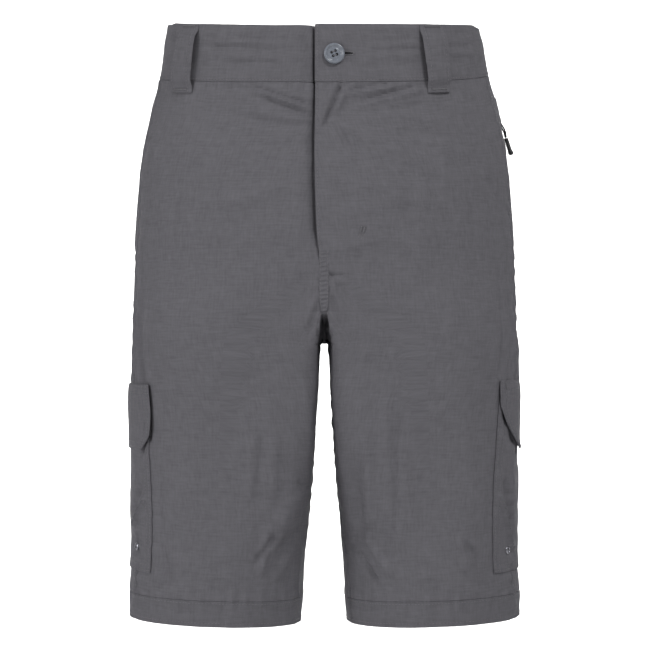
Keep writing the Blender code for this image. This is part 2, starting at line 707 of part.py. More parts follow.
def build_cargo_flap(half):
    """The flap, sewn along its top and lying over the pocket's mouth."""
    heights = column(FLAP, FLAP_COLUMNS, "z")
    front = column(FLAP, FLAP_COLUMNS, "front_" + half.side)
    back = column(FLAP, FLAP_COLUMNS, "back")
    lift = column(FLAP, FLAP_COLUMNS, "lift")
    shares = np.concatenate([[0.0, 0.06], np.linspace(0.14, 1.0, 9)])
    base, ways, stand = [], [], []
    for z, start, end, rise in zip(heights, front, back, lift):
        stops = start + shares * (end - start)
        down = (z - heights[0]) / (heights[-1] - heights[0])
        corner = FLAP_CORNER_LIFT[half.side] * down ** 1.5 * ease(1 - shares / 0.25)
        base.append([half.on(s, z) for s in stops])
        ways.append([half.way(s, z) for s in stops])
        stand.append(LAP_GAP + rise + corner)
    outer, inner = shelled(np.array(base), np.array(ways), FLAP_CLOTH,
                           np.array(stand)[..., None])
    wall("cargo_flap_" + half.side, outer, inner, "cloth")


def build_belt_loop(halves, loop):
    """A loop sewn at the band's top and just below its seam, standing off between."""
    name, face, top_x, bottom_x = (loop[key] for key in LOOP_COLUMNS)
    half = halves["right" if top_x < 0 else "left"]
    shares = np.array([-0.5, -0.17, 0.17, 0.5])
    top, bottom = WAIST_TOP_Z - 0.5, WAIST_SEAM_Z - LOOP_BELOW_SEAM
    profile_down = column(LOOP_PROFILE, LOOP_PROFILE_COLUMNS, "share_down")
    profile_out = column(LOOP_PROFILE, LOOP_PROFILE_COLUMNS, "out")
    base, ways = [], []
    for share in profile_down:
        z = top + (bottom - top) * share
        middle = top_x + (bottom_x - top_x) * share
        row_base, row_ways = [], []
        for across in shares:
            mirror = 1
            if top_x == 0.0:
                x = across * LOOP_WIDTH
                mirror = 1 if x > 0 else -1
                s = half.round_at_x(face, abs(x), z)
            else:
                turn = -half.sign if face == "front" else half.sign
                s = half.round_at_x(face, middle, z) - turn * half.sign * across * LOOP_WIDTH
            flip = np.array([mirror, 1, 1])
            row_base.append(half.on(s, z) * flip)
            row_ways.append(half.way(s, z) * flip)
        base.append(row_base)
        ways.append(row_ways)
    stand = LAP_GAP + LOOP_STANDOFF * profile_out
    outer, inner = shelled(np.array(base), np.array(ways), LOOP_CLOTH,
                           stand[:, None, None])
    wall(name, outer, inner, "band_cloth")


def hip_line(offset=0.0, top=0.0, bottom=0.0):
    """Stops down a hip pocket's opening."""
    levels = between(HIP_TOP_Z + top, HIP_BOTTOM_Z + bottom, 8)
    share = [(z - HIP_TOP_Z) / (HIP_BOTTOM_Z - HIP_TOP_Z) for z in levels]
    return [(HIP_TOP_S + (HIP_BOTTOM_S - HIP_TOP_S) * t + offset, z)
            for t, z in zip(share, levels)]


def build_hip_pocket(half):
    """A welt down the side; the wearer's left also shows its zip."""
    shift = -(WELT_WIDTH + ZIP_WIDTH) / 2 - 2 * SEAM_GAP
    strip(half, "hip_welt_" + half.side, "cloth", hip_line(shift), WELT_WIDTH, WELT_CLOTH)
    if half.side == "left":
        strip(half, "hip_zip_left", "zip_tape", hip_line(), ZIP_WIDTH, ZIP_CLOTH)


def build_fly():
    """The shield behind the fly, and the zip between it and the fronts."""
    def sheet(name, x_range, z_range, inset, thickness, finish):
        rows = []
        for z in between(z_range[0], z_range[1], 6):
            _, width, depth, power = oval(z, "front")
            row = []
            for x in between(x_range[0], x_range[1], 4):
                y = -depth * (1 - abs(x / width) ** power) ** (1 / power)
                row.append((x, y + inset, z + level_tilt("left", abs(x), y, z)))
            rows.append(row)
        outer = np.array(rows)
        wall(name, outer, outer + (0.0, thickness, 0.0), finish)
    under = LAP_DIP["panel"] + CLOTH + LAP_GAP + FOLD_ROOM
    sheet("fly_zip", FLY_ZIP_X, FLY_Z, under, TAPE, "zip_tape")
    sheet("fly_shield", SHIELD_X, (FLY_Z[0], FLY_Z[1] - 8), under + TAPE + SEAM_GAP,
          CLOTH, "cloth")


# ---------------------------------------------------------------- hardware

def turned(profile, segments):
    """Turn a closed outline of (radius, height) round Z."""
    work = bmesh.new()
    rings = []
    for radius, height in profile:
        if radius == 0.0:
            rings.append([work.verts.new((0, 0, height))] * segments)
            continue
        angles = [2 * math.pi * i / segments for i in range(segments)]
        rings.append([work.verts.new((radius * math.cos(a), radius * math.sin(a), height))
                      for a in angles])
    for ring, after in zip(rings, rings[1:] + rings[:1]):
        for i in range(segments):
            j = (i + 1) % segments
            loop = []
            for vert in (ring[i], ring[j], after[j], after[i]):
                if vert not in loop:
                    loop.append(vert)
            if len(loop) > 2:
                work.faces.new(loop)
    return work


def facing(way, spot, down=(0.0, 0.0, -1.0)):
    """A frame at a spot with Z along the way out and X across."""
    out = Vector(way).normalized()
    across = Vector(down).cross(out).normalized()
    frame = Matrix((across, out.cross(across), out)).transposed().to_4x4()
    frame.translation = Vector(spot)
    return frame


def build_button(half):
    """A four-hole button with a raised rim, held off the band by its thread shank."""
    s = half.round_at_x("front", BUTTON_X, BUTTON_SEAT_LEVEL)
    seat = half.on(s, BUTTON_SEAT_LEVEL, SEAM_GAP)
    seat[0], seat[2] = BUTTON_X, BUTTON_Z
    frame = facing((0.0, -1.0, 0.0), seat)
    lift = SHANK_T
    dish = BUTTON_R - BUTTON_RIM
    profile = ((0.0, 0.0), (SHANK_R, 0.0), (SHANK_R, lift),
               (BUTTON_R - 1.2, lift), (BUTTON_R, lift + 1.1),
               (BUTTON_R, lift + BUTTON_T - 0.9), (BUTTON_R - 0.9, lift + BUTTON_T),
               (dish, lift + BUTTON_T - 0.3), (dish - 1.3, lift + BUTTON_T - 1.3),
               (0.0, lift + BUTTON_T - 1.4))
    work = turned(profile, 28)
    button = add_bmesh("waist_button", work, "button_plastic", frame)
    for i in range(4):
        angle = math.radians(45 + BUTTON_TURN + 90 * i)
        centre = (BUTTON_HOLE_OUT * math.cos(angle), BUTTON_HOLE_OUT * math.sin(angle), 2.0)
        hole = bmesh.new()
        bmesh.ops.create_cone(hole, cap_ends=True, segments=10, radius1=BUTTON_HOLE_R,
                              radius2=BUTTON_HOLE_R, depth=8.0,
                              matrix=Matrix.Translation(centre))
        cutter = add_bmesh(f"button_hole_cutter_{i}", hole, "button_plastic", frame)
        cutter.hide_render = True
        cutter.display_type = "WIRE"
        cut = button.modifiers.new(f"hole_{i}", "BOOLEAN")
        cut.operation, cut.solver, cut.object = "DIFFERENCE", "EXACT", cutter


def build_eyelet(half):
    """A drain eyelet at a cargo pocket's lower front corner."""
    x, z = EYELETS[half.side]
    s = half.round_at_x("front", abs(x), z)
    share_s = (s + FRONT_STEPS[-1]) / (BACK_STEPS[-1] + FRONT_STEPS[-1])
    share_z = (z - POCKET_ROWS[0]) / (POCKET_ROWS[1] - POCKET_ROWS[0])
    stand = CLOTH + 2 * SEAM_GAP + float(pocket_relief(half.side, share_s, share_z)) + 0.25
    frame = facing(half.way(s, z), half.on(s, z, stand))
    profile = ((EYELET_BORE, 0.0), (EYELET_R, 0.0), (EYELET_R - 0.5, EYELET_T * 0.8),
               (EYELET_R - 1.2, EYELET_T), (EYELET_BORE, EYELET_T * 0.7))
    add_bmesh("cargo_eyelet_" + half.side, turned(profile, 16), "eyelet_metal", frame)


def slider_frame(half):
    """Out, across and down at the hip zip's slider, on the outer face of its body."""
    s = float(np.interp(-SLIDER_Z, (-HIP_TOP_Z, -HIP_BOTTOM_Z), (HIP_TOP_S, HIP_BOTTOM_S)))
    out = half.way(s, SLIDER_Z)
    down = np.array([0.0, 0.0, -1.0])
    across = np.cross(down, out)
    across /= np.linalg.norm(across)
    down = np.cross(out, across)
    seat = half.on(s, SLIDER_Z, SLIDER_OUT + SLIDER_BODY[0])
    return seat, np.array([out, across, down])


def build_slider(half):
    """The slider: a flat body, and a crown with a hole across it for the cord."""
    seat, axes = slider_frame(half)
    thick, wide, long = SLIDER_BODY
    top = CROWN_BORE + CROWN_LEG
    inner = CROWN_HALF - CROWN_LEG
    # the body's outline, across and down, is narrower below than at its shoulders
    body = ((-0.5, -0.5), (0.5, -0.5), (0.5, 0.05), (0.36, 0.5), (-0.36, 0.5), (-0.5, 0.05))
    rings = [[seat + axes.T @ (o, a * wide, d * long) for a, d in body]
             for o in (-thick, 0.0)]
    work = bmesh.new()
    loops = [[work.verts.new(p) for p in ring] for ring in rings]
    bmesh.ops.contextual_create(work, geom=loops[0])
    bmesh.ops.contextual_create(work, geom=loops[1])
    count = len(body)
    for i in range(count):
        j = (i + 1) % count
        work.faces.new((loops[0][i], loops[0][j], loops[1][j], loops[1][i]))
    add_bmesh("hip_zip_slider", work, "zip_metal")
    arch = ((SEAM_GAP, -CROWN_HALF), (top, -CROWN_HALF + 0.8), (top, CROWN_HALF - 0.8),
            (SEAM_GAP, CROWN_HALF), (SEAM_GAP, inner), (CROWN_BORE, inner - 0.3),
            (CROWN_BORE, 0.3 - inner), (SEAM_GAP, -inner))
    work = bmesh.new()
    sides = [[work.verts.new(seat + axes.T @ (o, a, d)) for o, d in arch]
             for a in (-CROWN_WIDTH / 2, CROWN_WIDTH / 2)]
    count = len(arch)
    for i in range(count):
        j = (i + 1) % count
        work.faces.new((sides[0][i], sides[0][j], sides[1][j], sides[1][i]))
    half_count = count // 2
    for side in sides:
        for i in range(half_count - 1):
            work.faces.new((side[i], side[i + 1], side[count - 2 - i], side[count - 1 - i]))
    add_bmesh("hip_zip_crown", work, "zip_metal")


def cord_path():
    """The loop of cord, as out, across, down from the middle of the crown's hole."""
    turn = [(0.0, CORD_TURN_R * math.sin(a), CORD_TURN_R * (1 - math.cos(a)))
            for a in np.linspace(0.0, math.pi / 2, 5)]
    strand = np.array(turn[1:] + list(CORD_STRAND))
    down = np.linspace(strand[4, 2], strand[-1, 2], 7)[1:]
    lower = np.stack([smooth_curve(down, strand[3:, 2], strand[3:, k]) for k in range(2)]
                     + [down], axis=1)
    one_side = np.concatenate([strand[:5], lower])
    other = one_side[::-1] * (1.0, -1.0, 1.0)
    return np.concatenate([other, [turn[0]], one_side])


def build_pull(half):
    """The cord loop through the crown, and the moulded grip on its ends."""
    seat, axes = slider_frame(half)
    hole = seat + axes[0] * (CROWN_BORE + SEAM_GAP) / 2
    route = [(hole + axes.T @ p) * MM for p in cord_path()]
    curve = bpy.data.curves.new("hip_pull_cord", "CURVE")
    curve.dimensions = "3D"
    curve.bevel_depth = CORD_D / 2 * MM
    curve.bevel_resolution = 2
    curve.use_fill_caps = True
    spline = curve.splines.new("POLY")
    spline.points.add(len(route) - 1)
    for point, spot in zip(spline.points, route):
        point.co = (*spot, 1.0)
    curve.materials.append(material("hip_pull_cord_material", *FINISHES["pull_cord"]))
    cord = bpy.data.objects.new("hip_pull_cord", curve)
    bpy.context.scene.collection.objects.link(cord)
    work = bmesh.new()
    rings = []
    for down, out, thick, wide in GRIP:
        ring = []
        for i in range(12):
            a = 2 * math.pi * i / 12
            c, s = math.cos(a), math.sin(a)
            local = (out + thick / 2 * math.copysign(abs(c) ** 0.6, c),
                     wide / 2 * math.copysign(abs(s) ** 0.6, s), down)
            ring.append(work.verts.new(hole + axes.T @ local))
        rings.append(ring)
    for ring, after in zip(rings, rings[1:]):
        for i in range(12):
            j = (i + 1) % 12
            work.faces.new((ring[i], ring[j], after[j], after[i]))
    work.faces.new(rings[0])
    work.faces.new(rings[-1])
    add_bmesh("hip_pull_grip", work, "grip_plastic")


def main():
    for old in list(bpy.data.objects):
        bpy.data.objects.remove(old)
    halves = {side: Half(side) for side in ("left", "right")}
    for half in halves.values():
        build_panels(half)
        build_waistband(half)
        build_hem(half)
        build_cargo_pocket(half)
        build_cargo_flap(half)
        build_hip_pocket(half)
        build_eyelet(half)
    for row in LOOPS:
        build_belt_loop(halves, dict(zip(LOOP_COLUMNS, row)))
    build_fly()
    build_button(halves["left"])
    build_slider(halves["left"])
    build_pull(halves["left"])


main()
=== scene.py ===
"""Cloth, stitching, hardware and stage for convertible trousers with the legs zipped off.

The garment is filled out as if worn, and hangs from its waist. The wearer's left is +X and
the front faces -Y. The origin is the middle of the waist opening. Sizes in the tables and
functions are millimetres until a mesh is made. Properties, materials, beads and the stage
are in metres.
"""
import json
import math
from functools import lru_cache

import bmesh
import bpy
import numpy as np
from mathutils import Matrix, Vector, noise


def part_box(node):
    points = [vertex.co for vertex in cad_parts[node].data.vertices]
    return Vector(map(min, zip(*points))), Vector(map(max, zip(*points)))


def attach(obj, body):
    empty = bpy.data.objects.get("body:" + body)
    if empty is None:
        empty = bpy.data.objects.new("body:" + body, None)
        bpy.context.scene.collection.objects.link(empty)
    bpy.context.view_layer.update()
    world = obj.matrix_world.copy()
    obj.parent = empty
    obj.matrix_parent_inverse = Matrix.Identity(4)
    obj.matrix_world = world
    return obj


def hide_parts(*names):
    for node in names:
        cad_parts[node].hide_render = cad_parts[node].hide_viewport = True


bl_info = {
    "name": "Convertible Trousers",
    "version": (1, 0, 0),
    "blender": (4, 5, 0),
    "location": "View3D > Sidebar > Trousers",
    "description": "Builds the cloth, seams, hardware and studio of zip-off trousers",
    "category": "Object",
}

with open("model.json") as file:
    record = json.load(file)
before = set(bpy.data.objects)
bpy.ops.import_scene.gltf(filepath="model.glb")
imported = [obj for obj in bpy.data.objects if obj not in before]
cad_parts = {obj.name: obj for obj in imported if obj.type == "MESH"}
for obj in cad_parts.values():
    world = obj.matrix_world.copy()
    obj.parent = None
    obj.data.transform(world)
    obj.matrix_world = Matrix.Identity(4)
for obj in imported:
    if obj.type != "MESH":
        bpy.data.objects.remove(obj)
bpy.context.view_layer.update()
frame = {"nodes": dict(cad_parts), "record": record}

MM = 0.001
GARMENT, PULL = "garment", "hip_pull"
SIDES = ("left", "right")
DOWN = (0.0, 0.0, -1.0)

# The photograph's view, in millimetres and pixels
PHOTO_PIXELS = 650
PIXEL = 0.94                 # at the garment's middle
CENTRE_COLUMN, WAIST_LINE = 324.3, 52          # the pixel of X = 0 and that of Z = 0
CAMERA_DISTANCE = 2200
SENSOR = 36

# Cloth and seams
CLOTH = 1.5
BAND_CLOTH = 2.4
HEM_CLOTH = 2
POCKET_CLOTH = 1.3
TAPE, HEM_TAPE = 1.2, 0.9
SEAM_GAP = 0.3
LAP_GAP = 0.7
EDGE_ROUND = 0.4             # how far a cloth edge bulges, as a share of its thickness
SEAM_MEET = 0.1              # how far two rounded edges press into each other

# Heights
WAIST_TOP_Z, WAIST_SEAM_Z = 26, -23
HOOK_Z, FORK_Z = -235, -273
HEM_SEAM_Z, HEM_Z = -507, -530
TILT_END_Z = -150
# The sloping edges, at the side, the front and the back
WAIST_TOP = {"left": (24.4, 13.4, 36), "right": (27.6, 12.6, 36)}
WAIST_SEAM = {"left": (-20.7, -38.6, -14), "right": (-25.4, -38.6, -14)}
WAIST_CORNER = (137, 2.6, 9)      # from this X, the top edge rounds down this far, this soon
HEM_SLOPE, LEG_MIDDLE_X = 0.035, 102

# Each row is a level section of one half of the garment.
SECTION_COLUMNS = ("z", "half_width", "front_depth", "back_depth", "front_power",
                   "back_power", "seam_forward")
SECTIONS = (
    (40, 143.5, 96, 103, 2.45, 2.3, 32),
    (26, 145.8, 97, 104, 2.45, 2.3, 32),
    (11, 149.3, 98.5, 105, 2.45, 2.3, 32),
    (-8, 151.8, 99.5, 107, 2.45, 2.3, 32),
    (-26, 154.8, 101, 110, 2.45, 2.3, 33),
    (-45, 159.8, 103, 114, 2.45, 2.3, 35),
    (-64, 164.3, 105, 119, 2.45, 2.3, 36),
    (-90, 169.3, 108, 126, 2.45, 2.3, 35),
    (-120, 173.2, 111, 132, 2.45, 2.3, 34),
    (-158, 176.2, 112, 135, 2.4, 2.3, 32),
    (-196, 178, 110.5, 133, 2.4, 2.3, 31),
    (-235, 179, 107, 127, 2.35, 2.3, 34),
    (-273, 179.8, 103, 120, 2.3, 2.25, 38),
    (-308, 180.3, 99, 113, 2.3, 2.2, 42),
    (-340, 179.4, 96, 108, 2.3, 2.2, 45),
    (-371, 178.6, 93, 104, 2.3, 2.2, 45),
    (-425, 178.8, 88, 97, 2.25, 2.2, 44),
    (-470, 179.8, 84, 91, 2.2, 2.2, 41),
    (-507, 182, 81, 86.5, 2.2, 2.2, 38),
    (-540, 182.8, 79, 84, 2.2, 2.2, 36),
)
INNER_COLUMNS = ("z", "half_gap", "inseam_forward", "fork_gap")
INNER_LEG = (
    (-273, 0, 0, 3.2),
    (-281, 1.2, 0.5, 2.5),
    (-290, 2.6, 2, 1.8),
    (-327, 6.9, 8, 0),
    (-383, 10.8, 21, 0),
    (-440, 15, 29, 0),
    (-507, 20.2, 31, 0),
    (-540, 22.6, 31, 0),
)
FORK_GAP_REACH = 7
FLY_COLUMNS = ("z", "x")
FLY_EDGE = ((40, -7.8), (-30, -7.8), (-92, -8.4), (-160, -7), (-186, -5),
            (-205, -1.5), (-218, 0), (-240, 0))
CROTCH_RAMP = {"front": 80, "back": 125}
CROTCH_POWER, CROTCH_EASE = 1.9, 1.45
INNER_POWER = {"front": 10, "back": 4}         # how square the inner thigh is at the fork
INNER_POWER_Z = (-200, -256, -290, -480)
LOW_TURN = {"front": 0.68, "back": 0.70}
LOW_TURN_Z, HOOK_FADE_Z = -335, -360
CROTCH_TUCK = {"front": 50, "back": 14}        # how deep the crotch folds in
TUCK_TOP_Z, TUCK_DROP, TUCK_WIDTH = -244, 12, (1.8, 4.8)
TUCK_END_Z, TUCK_FADE, TUCK_FROM_Y = -325, 45, 60

# Where the fine grid of the cloth has its rows and columns
POCKET_TOP_Z, POCKET_BOTTOM_Z = -322, -485
POCKET_FRONT_S, POCKET_BACK_S = {"left": -29.5, "right": -24.5}, 140
ROW_STOPS = (WAIST_TOP_Z, WAIST_SEAM_Z, HOOK_Z, POCKET_TOP_Z, POCKET_BOTTOM_Z, HEM_SEAM_Z,
             HEM_Z)
ROW_COUNTS = (26, 112, 34, 58, 7, 10)
FRONT_NEAR, FRONT_REST, BACK_NEAR, BACK_REST, HOOK_COLS = 16, 112, 54, 38, 28
# Above 1, the columns lie closer beside the hook, at the fly and behind the side seam
HOOK_CROWDING, FLY_CROWDING, BACK_CROWDING = 1.5, 1.35, 1.2
ROUND_SAMPLES = 900

# Largest folds: x and z of one end, x and z of the other, width and height
FOLDS = {
    "front": (
        (-16, -395, -60, -478, 9, 3), (-8, -425, -40, -470, 8, -2.5),
        (24, -455, 56, -495, 8, 3.2), (22, -360, 27, -470, 10, -3), (62, -290, 60, -470, 16, 2.4),
        (-58, -310, -52, -420, 16, 2.2), (-105, -330, -100, -470, 20, -1.8),
        (108, -320, 104, -480, 20, -1.8), (-152, -82, -168, -128, 7, 2), (20, -34, 6, -70, 7, 2),
        (-70, -40, -20, -60, 8, 1.6), (-6, -205, -40, -256, 9, -0.8),
        (6, -205, 42, -258, 9, -0.8)),
    "back": (
        (-70, -180, -20, -232, 12, 2.4), (66, -190, 18, -236, 12, 2.4),
        (-128, -262, -40, -300, 12, -3.2), (124, -270, 44, -306, 12, -3.2),
        (-132, -292, -58, -326, 11, 2.6), (130, -300, 60, -334, 11, 2.6),
        (-112, -380, -104, -490, 16, 2.2), (110, -372, 98, -485, 16, 2.2),
        (-64, -400, -70, -495, 13, -2.4), (62, -395, 66, -490, 13, -2.4)),
}
FOLD_FACING = 0.6            # how squarely the cloth must face that way for a full fold
FOLD_GROW, FOLD_FADE = 0.3, 0.2                # shares of a fold's length

# Creases too small for the solids, placed the same way
CREASES = {
    "front": (
        # across the waistband
        (-118, -3, -44, -9, 2.2, -0.45), (-116, 0, -40, -4, 2.2, 0.45),
        (-114, -13, -30, -18, 2.2, 0.4), (-96, -19, -28, -22, 2, -0.4),
        (-90, 3, -10, -1, 2.2, -0.4), (-60, -8, -10, -12, 2.2, -0.4),
        (-110, 9, -50, 8, 2.4, 0.35), (-90, 14, -20, 12, 2.2, -0.3), (26, -3, 92, 2, 2, -0.45),
        (30, -11, 96, -6, 2, -0.45), (24, -17, 90, -13, 2.4, 0.4), (20, -26, 84, -21, 2.2, -0.35),
        (28, 8, 94, 12, 2.4, 0.4), (108, -4, 138, 0, 2.2, -0.5), (108, -10, 140, -8, 2.2, 0.5),
        (110, 8, 138, 12, 2.2, -0.4), (-143, 16, -134, 2, 1.8, -0.8),
        (-140, 9, -132, -4, 1.8, 0.7), (132, 5, 140, -18, 2.4, 0.5),
        # drag lines under the waist seam, towards the button
        (-115, -40, -55, -45.5, 2.6, -0.6), (-76, -38, -8, -60, 2.2, -0.9),
        (-74, -42.5, -8, -65, 2.6, 0.9), (-60, -51, -8, -71, 2.2, -0.7),
        (-84, -62, -8, -74, 3, 0.6), (-88, -68, -8, -81, 3, -0.6), (-108, -50, -60, -60, 3, -0.5),
        (-100, -56, -50, -64, 3, 0.5), (-50, -86, -12, -92, 3, 0.4),
        (27, -38.5, 10, -46, 2, -0.8), (19, -30, -3, -84, 1.9, -1.3),
        (19, -44, 11, -66, 2.6, 0.9), (8, -41, 0, -62, 2.6, 0.7),
        (12, -47.5, 62, -38.5, 2.4, -0.7), (12, -51.5, 68, -42, 2.2, 0.8),
        (20, -59, 92, -39, 2.4, -0.8), (20, -63.5, 98, -43, 2.4, 0.8),
        (34, -68, 96, -56, 2.6, -0.6), (48, -64, 130, -76, 4, 0.5), (54, -80, 124, -88, 4, -0.5),
        (12, -76, 23, -102, 2.6, -0.7), (16, -74, 28, -98, 2.6, 0.6),
        (106, -98, 134, -116, 4, -0.5),
        # across the lap and towards the crotch
        (29, -117, 76, -151, 7, 0.8), (50, -103, 107, -134, 6, -0.7),
        (-29, -126, -95, -155, 8, 0.8), (8, -180, 55, -155, 5, -0.3), (6, -191, 63, -176, 5, 0.4),
        (0, -212.5, 20, -213, 1.5, -0.6), (2, -216.5, 24, -218, 2.4, 0.4),
        (-6, -193, -57, -216, 5, 0.3), (-4, -206, -46, -237, 5, -0.3),
        (-6, -226, -20, -262, 3, 0.6), (6, -218, 22, -252, 3, 0.6),
        (5, -226, 16, -262, 2.4, -0.7), (-5, -236, -14, -268, 2.4, -0.6),
        (4, -208, 15, -226, 1.8, -0.5),
        # the front of the legs
        (-57, -306, -74, -304, 4, -0.6), (-55, -347, -59, -408, 3.6, -0.8),
        (-65, -346, -67, -420, 4.4, 0.7), (-44, -346, -46, -422, 4.4, 0.6),
        (-17, -298, -10, -405, 5, 0.9), (-25, -397, -13, -410, 2.6, -1.2),
        (-42, -443, -63, -475, 3.4, -1.6), (-51, -437, -59, -490, 3.8, 1.2),
        (-29, -460, -46, -492, 4, 1), (-156, -453, -147, -497, 3, 1.1),
        (-146, -459, -139, -495, 3, -0.9), (-122, -460, -116, -488, 4, 0.6),
        (27, -367, 34, -460, 4.6, -1), (38, -336, 40, -447, 5, 0.9),
        (23, -454, 50, -494, 3, -1.9), (32, -443, 63, -488, 4, 1.3), (57, -298, 55, -393, 5, 0.7),
        (69, -326, 65, -460, 5, -0.7), (126, -452, 141, -473, 3.2, -1),
        (120, -441, 133, -481, 4, 0.8), (86, -460, 93, -492, 4, 0.6)),
    "back": (
        # the seat and the backs of the thighs
        (-120, -40, -30, -56, 4, 0.8), (118, -42, 34, -54, 4, -0.8), (-60, -34, 10, -44, 4, -0.6),
        (84, -66, 20, -90, 6, 0.7), (-90, -80, -24, -110, 6, 0.7),
        (-100, -220, -20, -252, 6, 1.2), (96, -226, 20, -256, 6, 1.2),
        (-80, -246, -12, -272, 5, -1.3), (84, -244, 14, -276, 5, -1.3),
        (-140, -282, -84, -310, 5, 1), (138, -286, 90, -318, 5, 1), (-36, -300, -20, -360, 5, -1),
        (38, -304, 22, -366, 5, -1), (-90, -360, -84, -440, 5, 0.9), (86, -356, 80, -430, 5, 0.9),
        (-48, -440, -30, -496, 5, 1.2), (46, -436, 30, -494, 5, 1.2),
        (-120, -452, -108, -500, 4, -0.9), (122, -448, 112, -498, 4, -0.9),
        (-110, 8, -44, 4, 3, -0.45), (50, 12, 112, 8, 3, 0.4), (26, -2, 84, 0, 3, -0.4)),
}

# Creases on the outer thighs, by distance round from the side seam instead of x
SIDE_CREASES = {
    "left": (
        # gathers above the flap
        (-35, -316, -31, -190, 3, -0.7), (-27, -316, -23, -232, 2.6, 0.8),
        (-19, -316, -16, -215, 2.4, -0.7), (-11, -318, -9, -240, 2.4, 0.8),
        (12, -316, 14, -236, 3.2, -0.5), (27, -316, 20, -262, 3.6, 0.7),
        (52, -312, 44, -236, 4, -0.8), (84, -312, 80, -250, 4, 0.8),
        # the hip, with the end of the zipped pocket
        (-30, -140, -24, -96, 4, 0.6), (-44, -120, -20, -150, 4, -0.5),
        (44, -42, 48, -80, 6, 1.1),
        # the pocket
        (-24, -408, -2, -466, 1.8, 1.9), (-15, -396, 6, -458, 4.6, -1.7),
        (-8, -452, 14, -480, 2.6, 0.8), (44, -384, 72, -474, 6, 0.7),
        # in the shadow of the flap's edge
        (-27, -314, -18, -350, 1.8, -2), (-21, -334, -2, -362, 1.8, -2),
        (-7, -350, 15, -378, 1.8, -2)),
    "right": (
        (-33, -315, -28, -214, 2.8, 0.7), (-24, -316, -21, -246, 2.6, -0.8),
        (-16, -317, -14, -200, 2.4, 0.8), (-8, -315, -6, -238, 2.4, -0.7),
        (11, -316, 8, -224, 3.2, 0.6), (24, -316, 27, -258, 3.6, -0.6),
        (58, -312, 50, -228, 4, 0.8), (92, -312, 84, -246, 4, -0.8),
        (-28, -152, -20, -110, 4, -0.6), (-34, -104, -14, -80, 4, 0.6),
        (-20, -414, 13, -447, 1.8, 1.9), (-11, -402, 15, -434, 4.6, -1.7),
        (-4, -440, 10, -468, 2.6, 0.8), (50, -380, 84, -462, 6, 0.7),
        (-27, -312, -26.5, -366, 1.8, -2.4), (-27, -352, -12, -378, 1.8, -1.8)),
}
SIDE_CREASE_GROW = 0.12      # they are at full height soon after their first end

# Ripples that a seam gathers into the cloth beside it: pitch, reach and depth
PUCKERS = {
    "waist": (12, 13, 0.4),
    "side": (15, 9, 0.4),
    "inseam": (13, 9, 0.3),
    "centre": (8, 8, 0.35),
    "pocket_edge": (13, 7, 0.12),
    "flap_top": (11, 26, 0.3),
    "hem": (14, 12, 0.4),
}
# Ripples of the cloth itself: their size along X, Y and Z, and their depth
SWAY = (((90, 90, 110), 1.5), ((34, 34, 46), 0.8), ((10, 10, 80), 0.35),
        ((70, 70, 9), 0.3), ((15, 15, 17), 0.35))
SEAM_RIDGE, SEAM_RIDGE_WIDTH, SEAM_RIDGE_EDGE = 0.45, 7.5, 1.6
SIDE_PUCKER_MORE, SIDE_PUCKER_Z, SIDE_PUCKER_FADE = 0.6, -200, 60

# Where the wearer's right dips under the lap of the wearer's left
LAP_DIP = {"band": 3.2, "panel": 2.4}
LAP_DIP_START, LAP_DIP_END = 9, 24
GROOVE_DEPTH = 4             # the fold beside the lapped edge
GROOVE_WIDTH = {"band": 2.5, "panel": 5}
GROOVE_END_Z, GROOVE_FADE, GROOVE_GROW = -212, 50, 60
UNDERLAP_X = tuple(30 - 2 * i for i in range(18))

# Cargo pockets and flaps, round the leg from the side seam
POCKET_PUFF = 1.5
POCKET_RIPPLES = (((26, 60, 1), 0.3), ((12, 34, 1), 0.2))
FLAP_RIPPLES = (((36, 60, 1), 0.4), ((12, 25, 1), 0.2))
FLAP_COLUMNS = ("z", "front_left", "front_right", "back", "lift")
FLAP = (
    (-309.5, -33, -33, 141.5, 0),
    (-316, -33, -33, 141.5, 0.9),
    (-324, -31.5, -33, 141.5, 1.4),
    (-340, -24, -32.5, 141.5, 1.9),
    (-356, -10, -30, 141.5, 2.1),
    (-371, 12, -17, 138, 2.2),
)
FLAP_TOP_SHIFT = {"left": 1.8, "right": -2}
FLAP_CLOTH = 1.6
FLAP_CORNER_LIFT = {"left": 2.4, "right": 1.2}
FLAP_ROWS, FLAP_COLS = 34, 72
FLAP_CORNER_SHARE, FLAP_CORNER_COLS = 0.12, 12    # the front corner's finer columns

# Belt loops: middle at the top and at the bottom, in X
LOOP_CLOTH, LOOP_STANDOFF, LOOP_BELOW_SEAM = 1.6, 5, 11
LOOP_ROWS, LOOP_COLS = 46, 15
LOOP_COLUMNS = ("name", "face", "top_x", "bottom_x", "top_width", "bottom_width", "crease")
LOOPS = (
    ("front_right", "front", -121.5, -130, 19.5, 25, 0.62),
    ("front_left", "front", 96.5, 103.5, 23, 21, 0.56),
    ("back_right", "back", -96, -98, 20, 20, 0.5),
    ("back_left", "back", 96, 98, 20, 20, 0.58),
    ("centre_back", "back", 0, 0, 20, 20, 0.6),
)
LOOP_PROFILE = ((0, 0), (0.09, 0), (0.17, 0.9), (0.32, 1), (0.50, 1),
                (0.70, 1), (0.83, 0.9), (0.91, 0), (1, 0))

# Hip pockets
HIP_TOP_Z, HIP_BOTTOM_Z = -50, -188
HIP_TOP_S, HIP_BOTTOM_S = 66, 50
WELT_WIDTH, ZIP_WIDTH = 9, 7
WELT_CLOTH, ZIP_CLOTH = 1.4, 0.8
HIP_ROWS, HIP_COLS = 60, 7

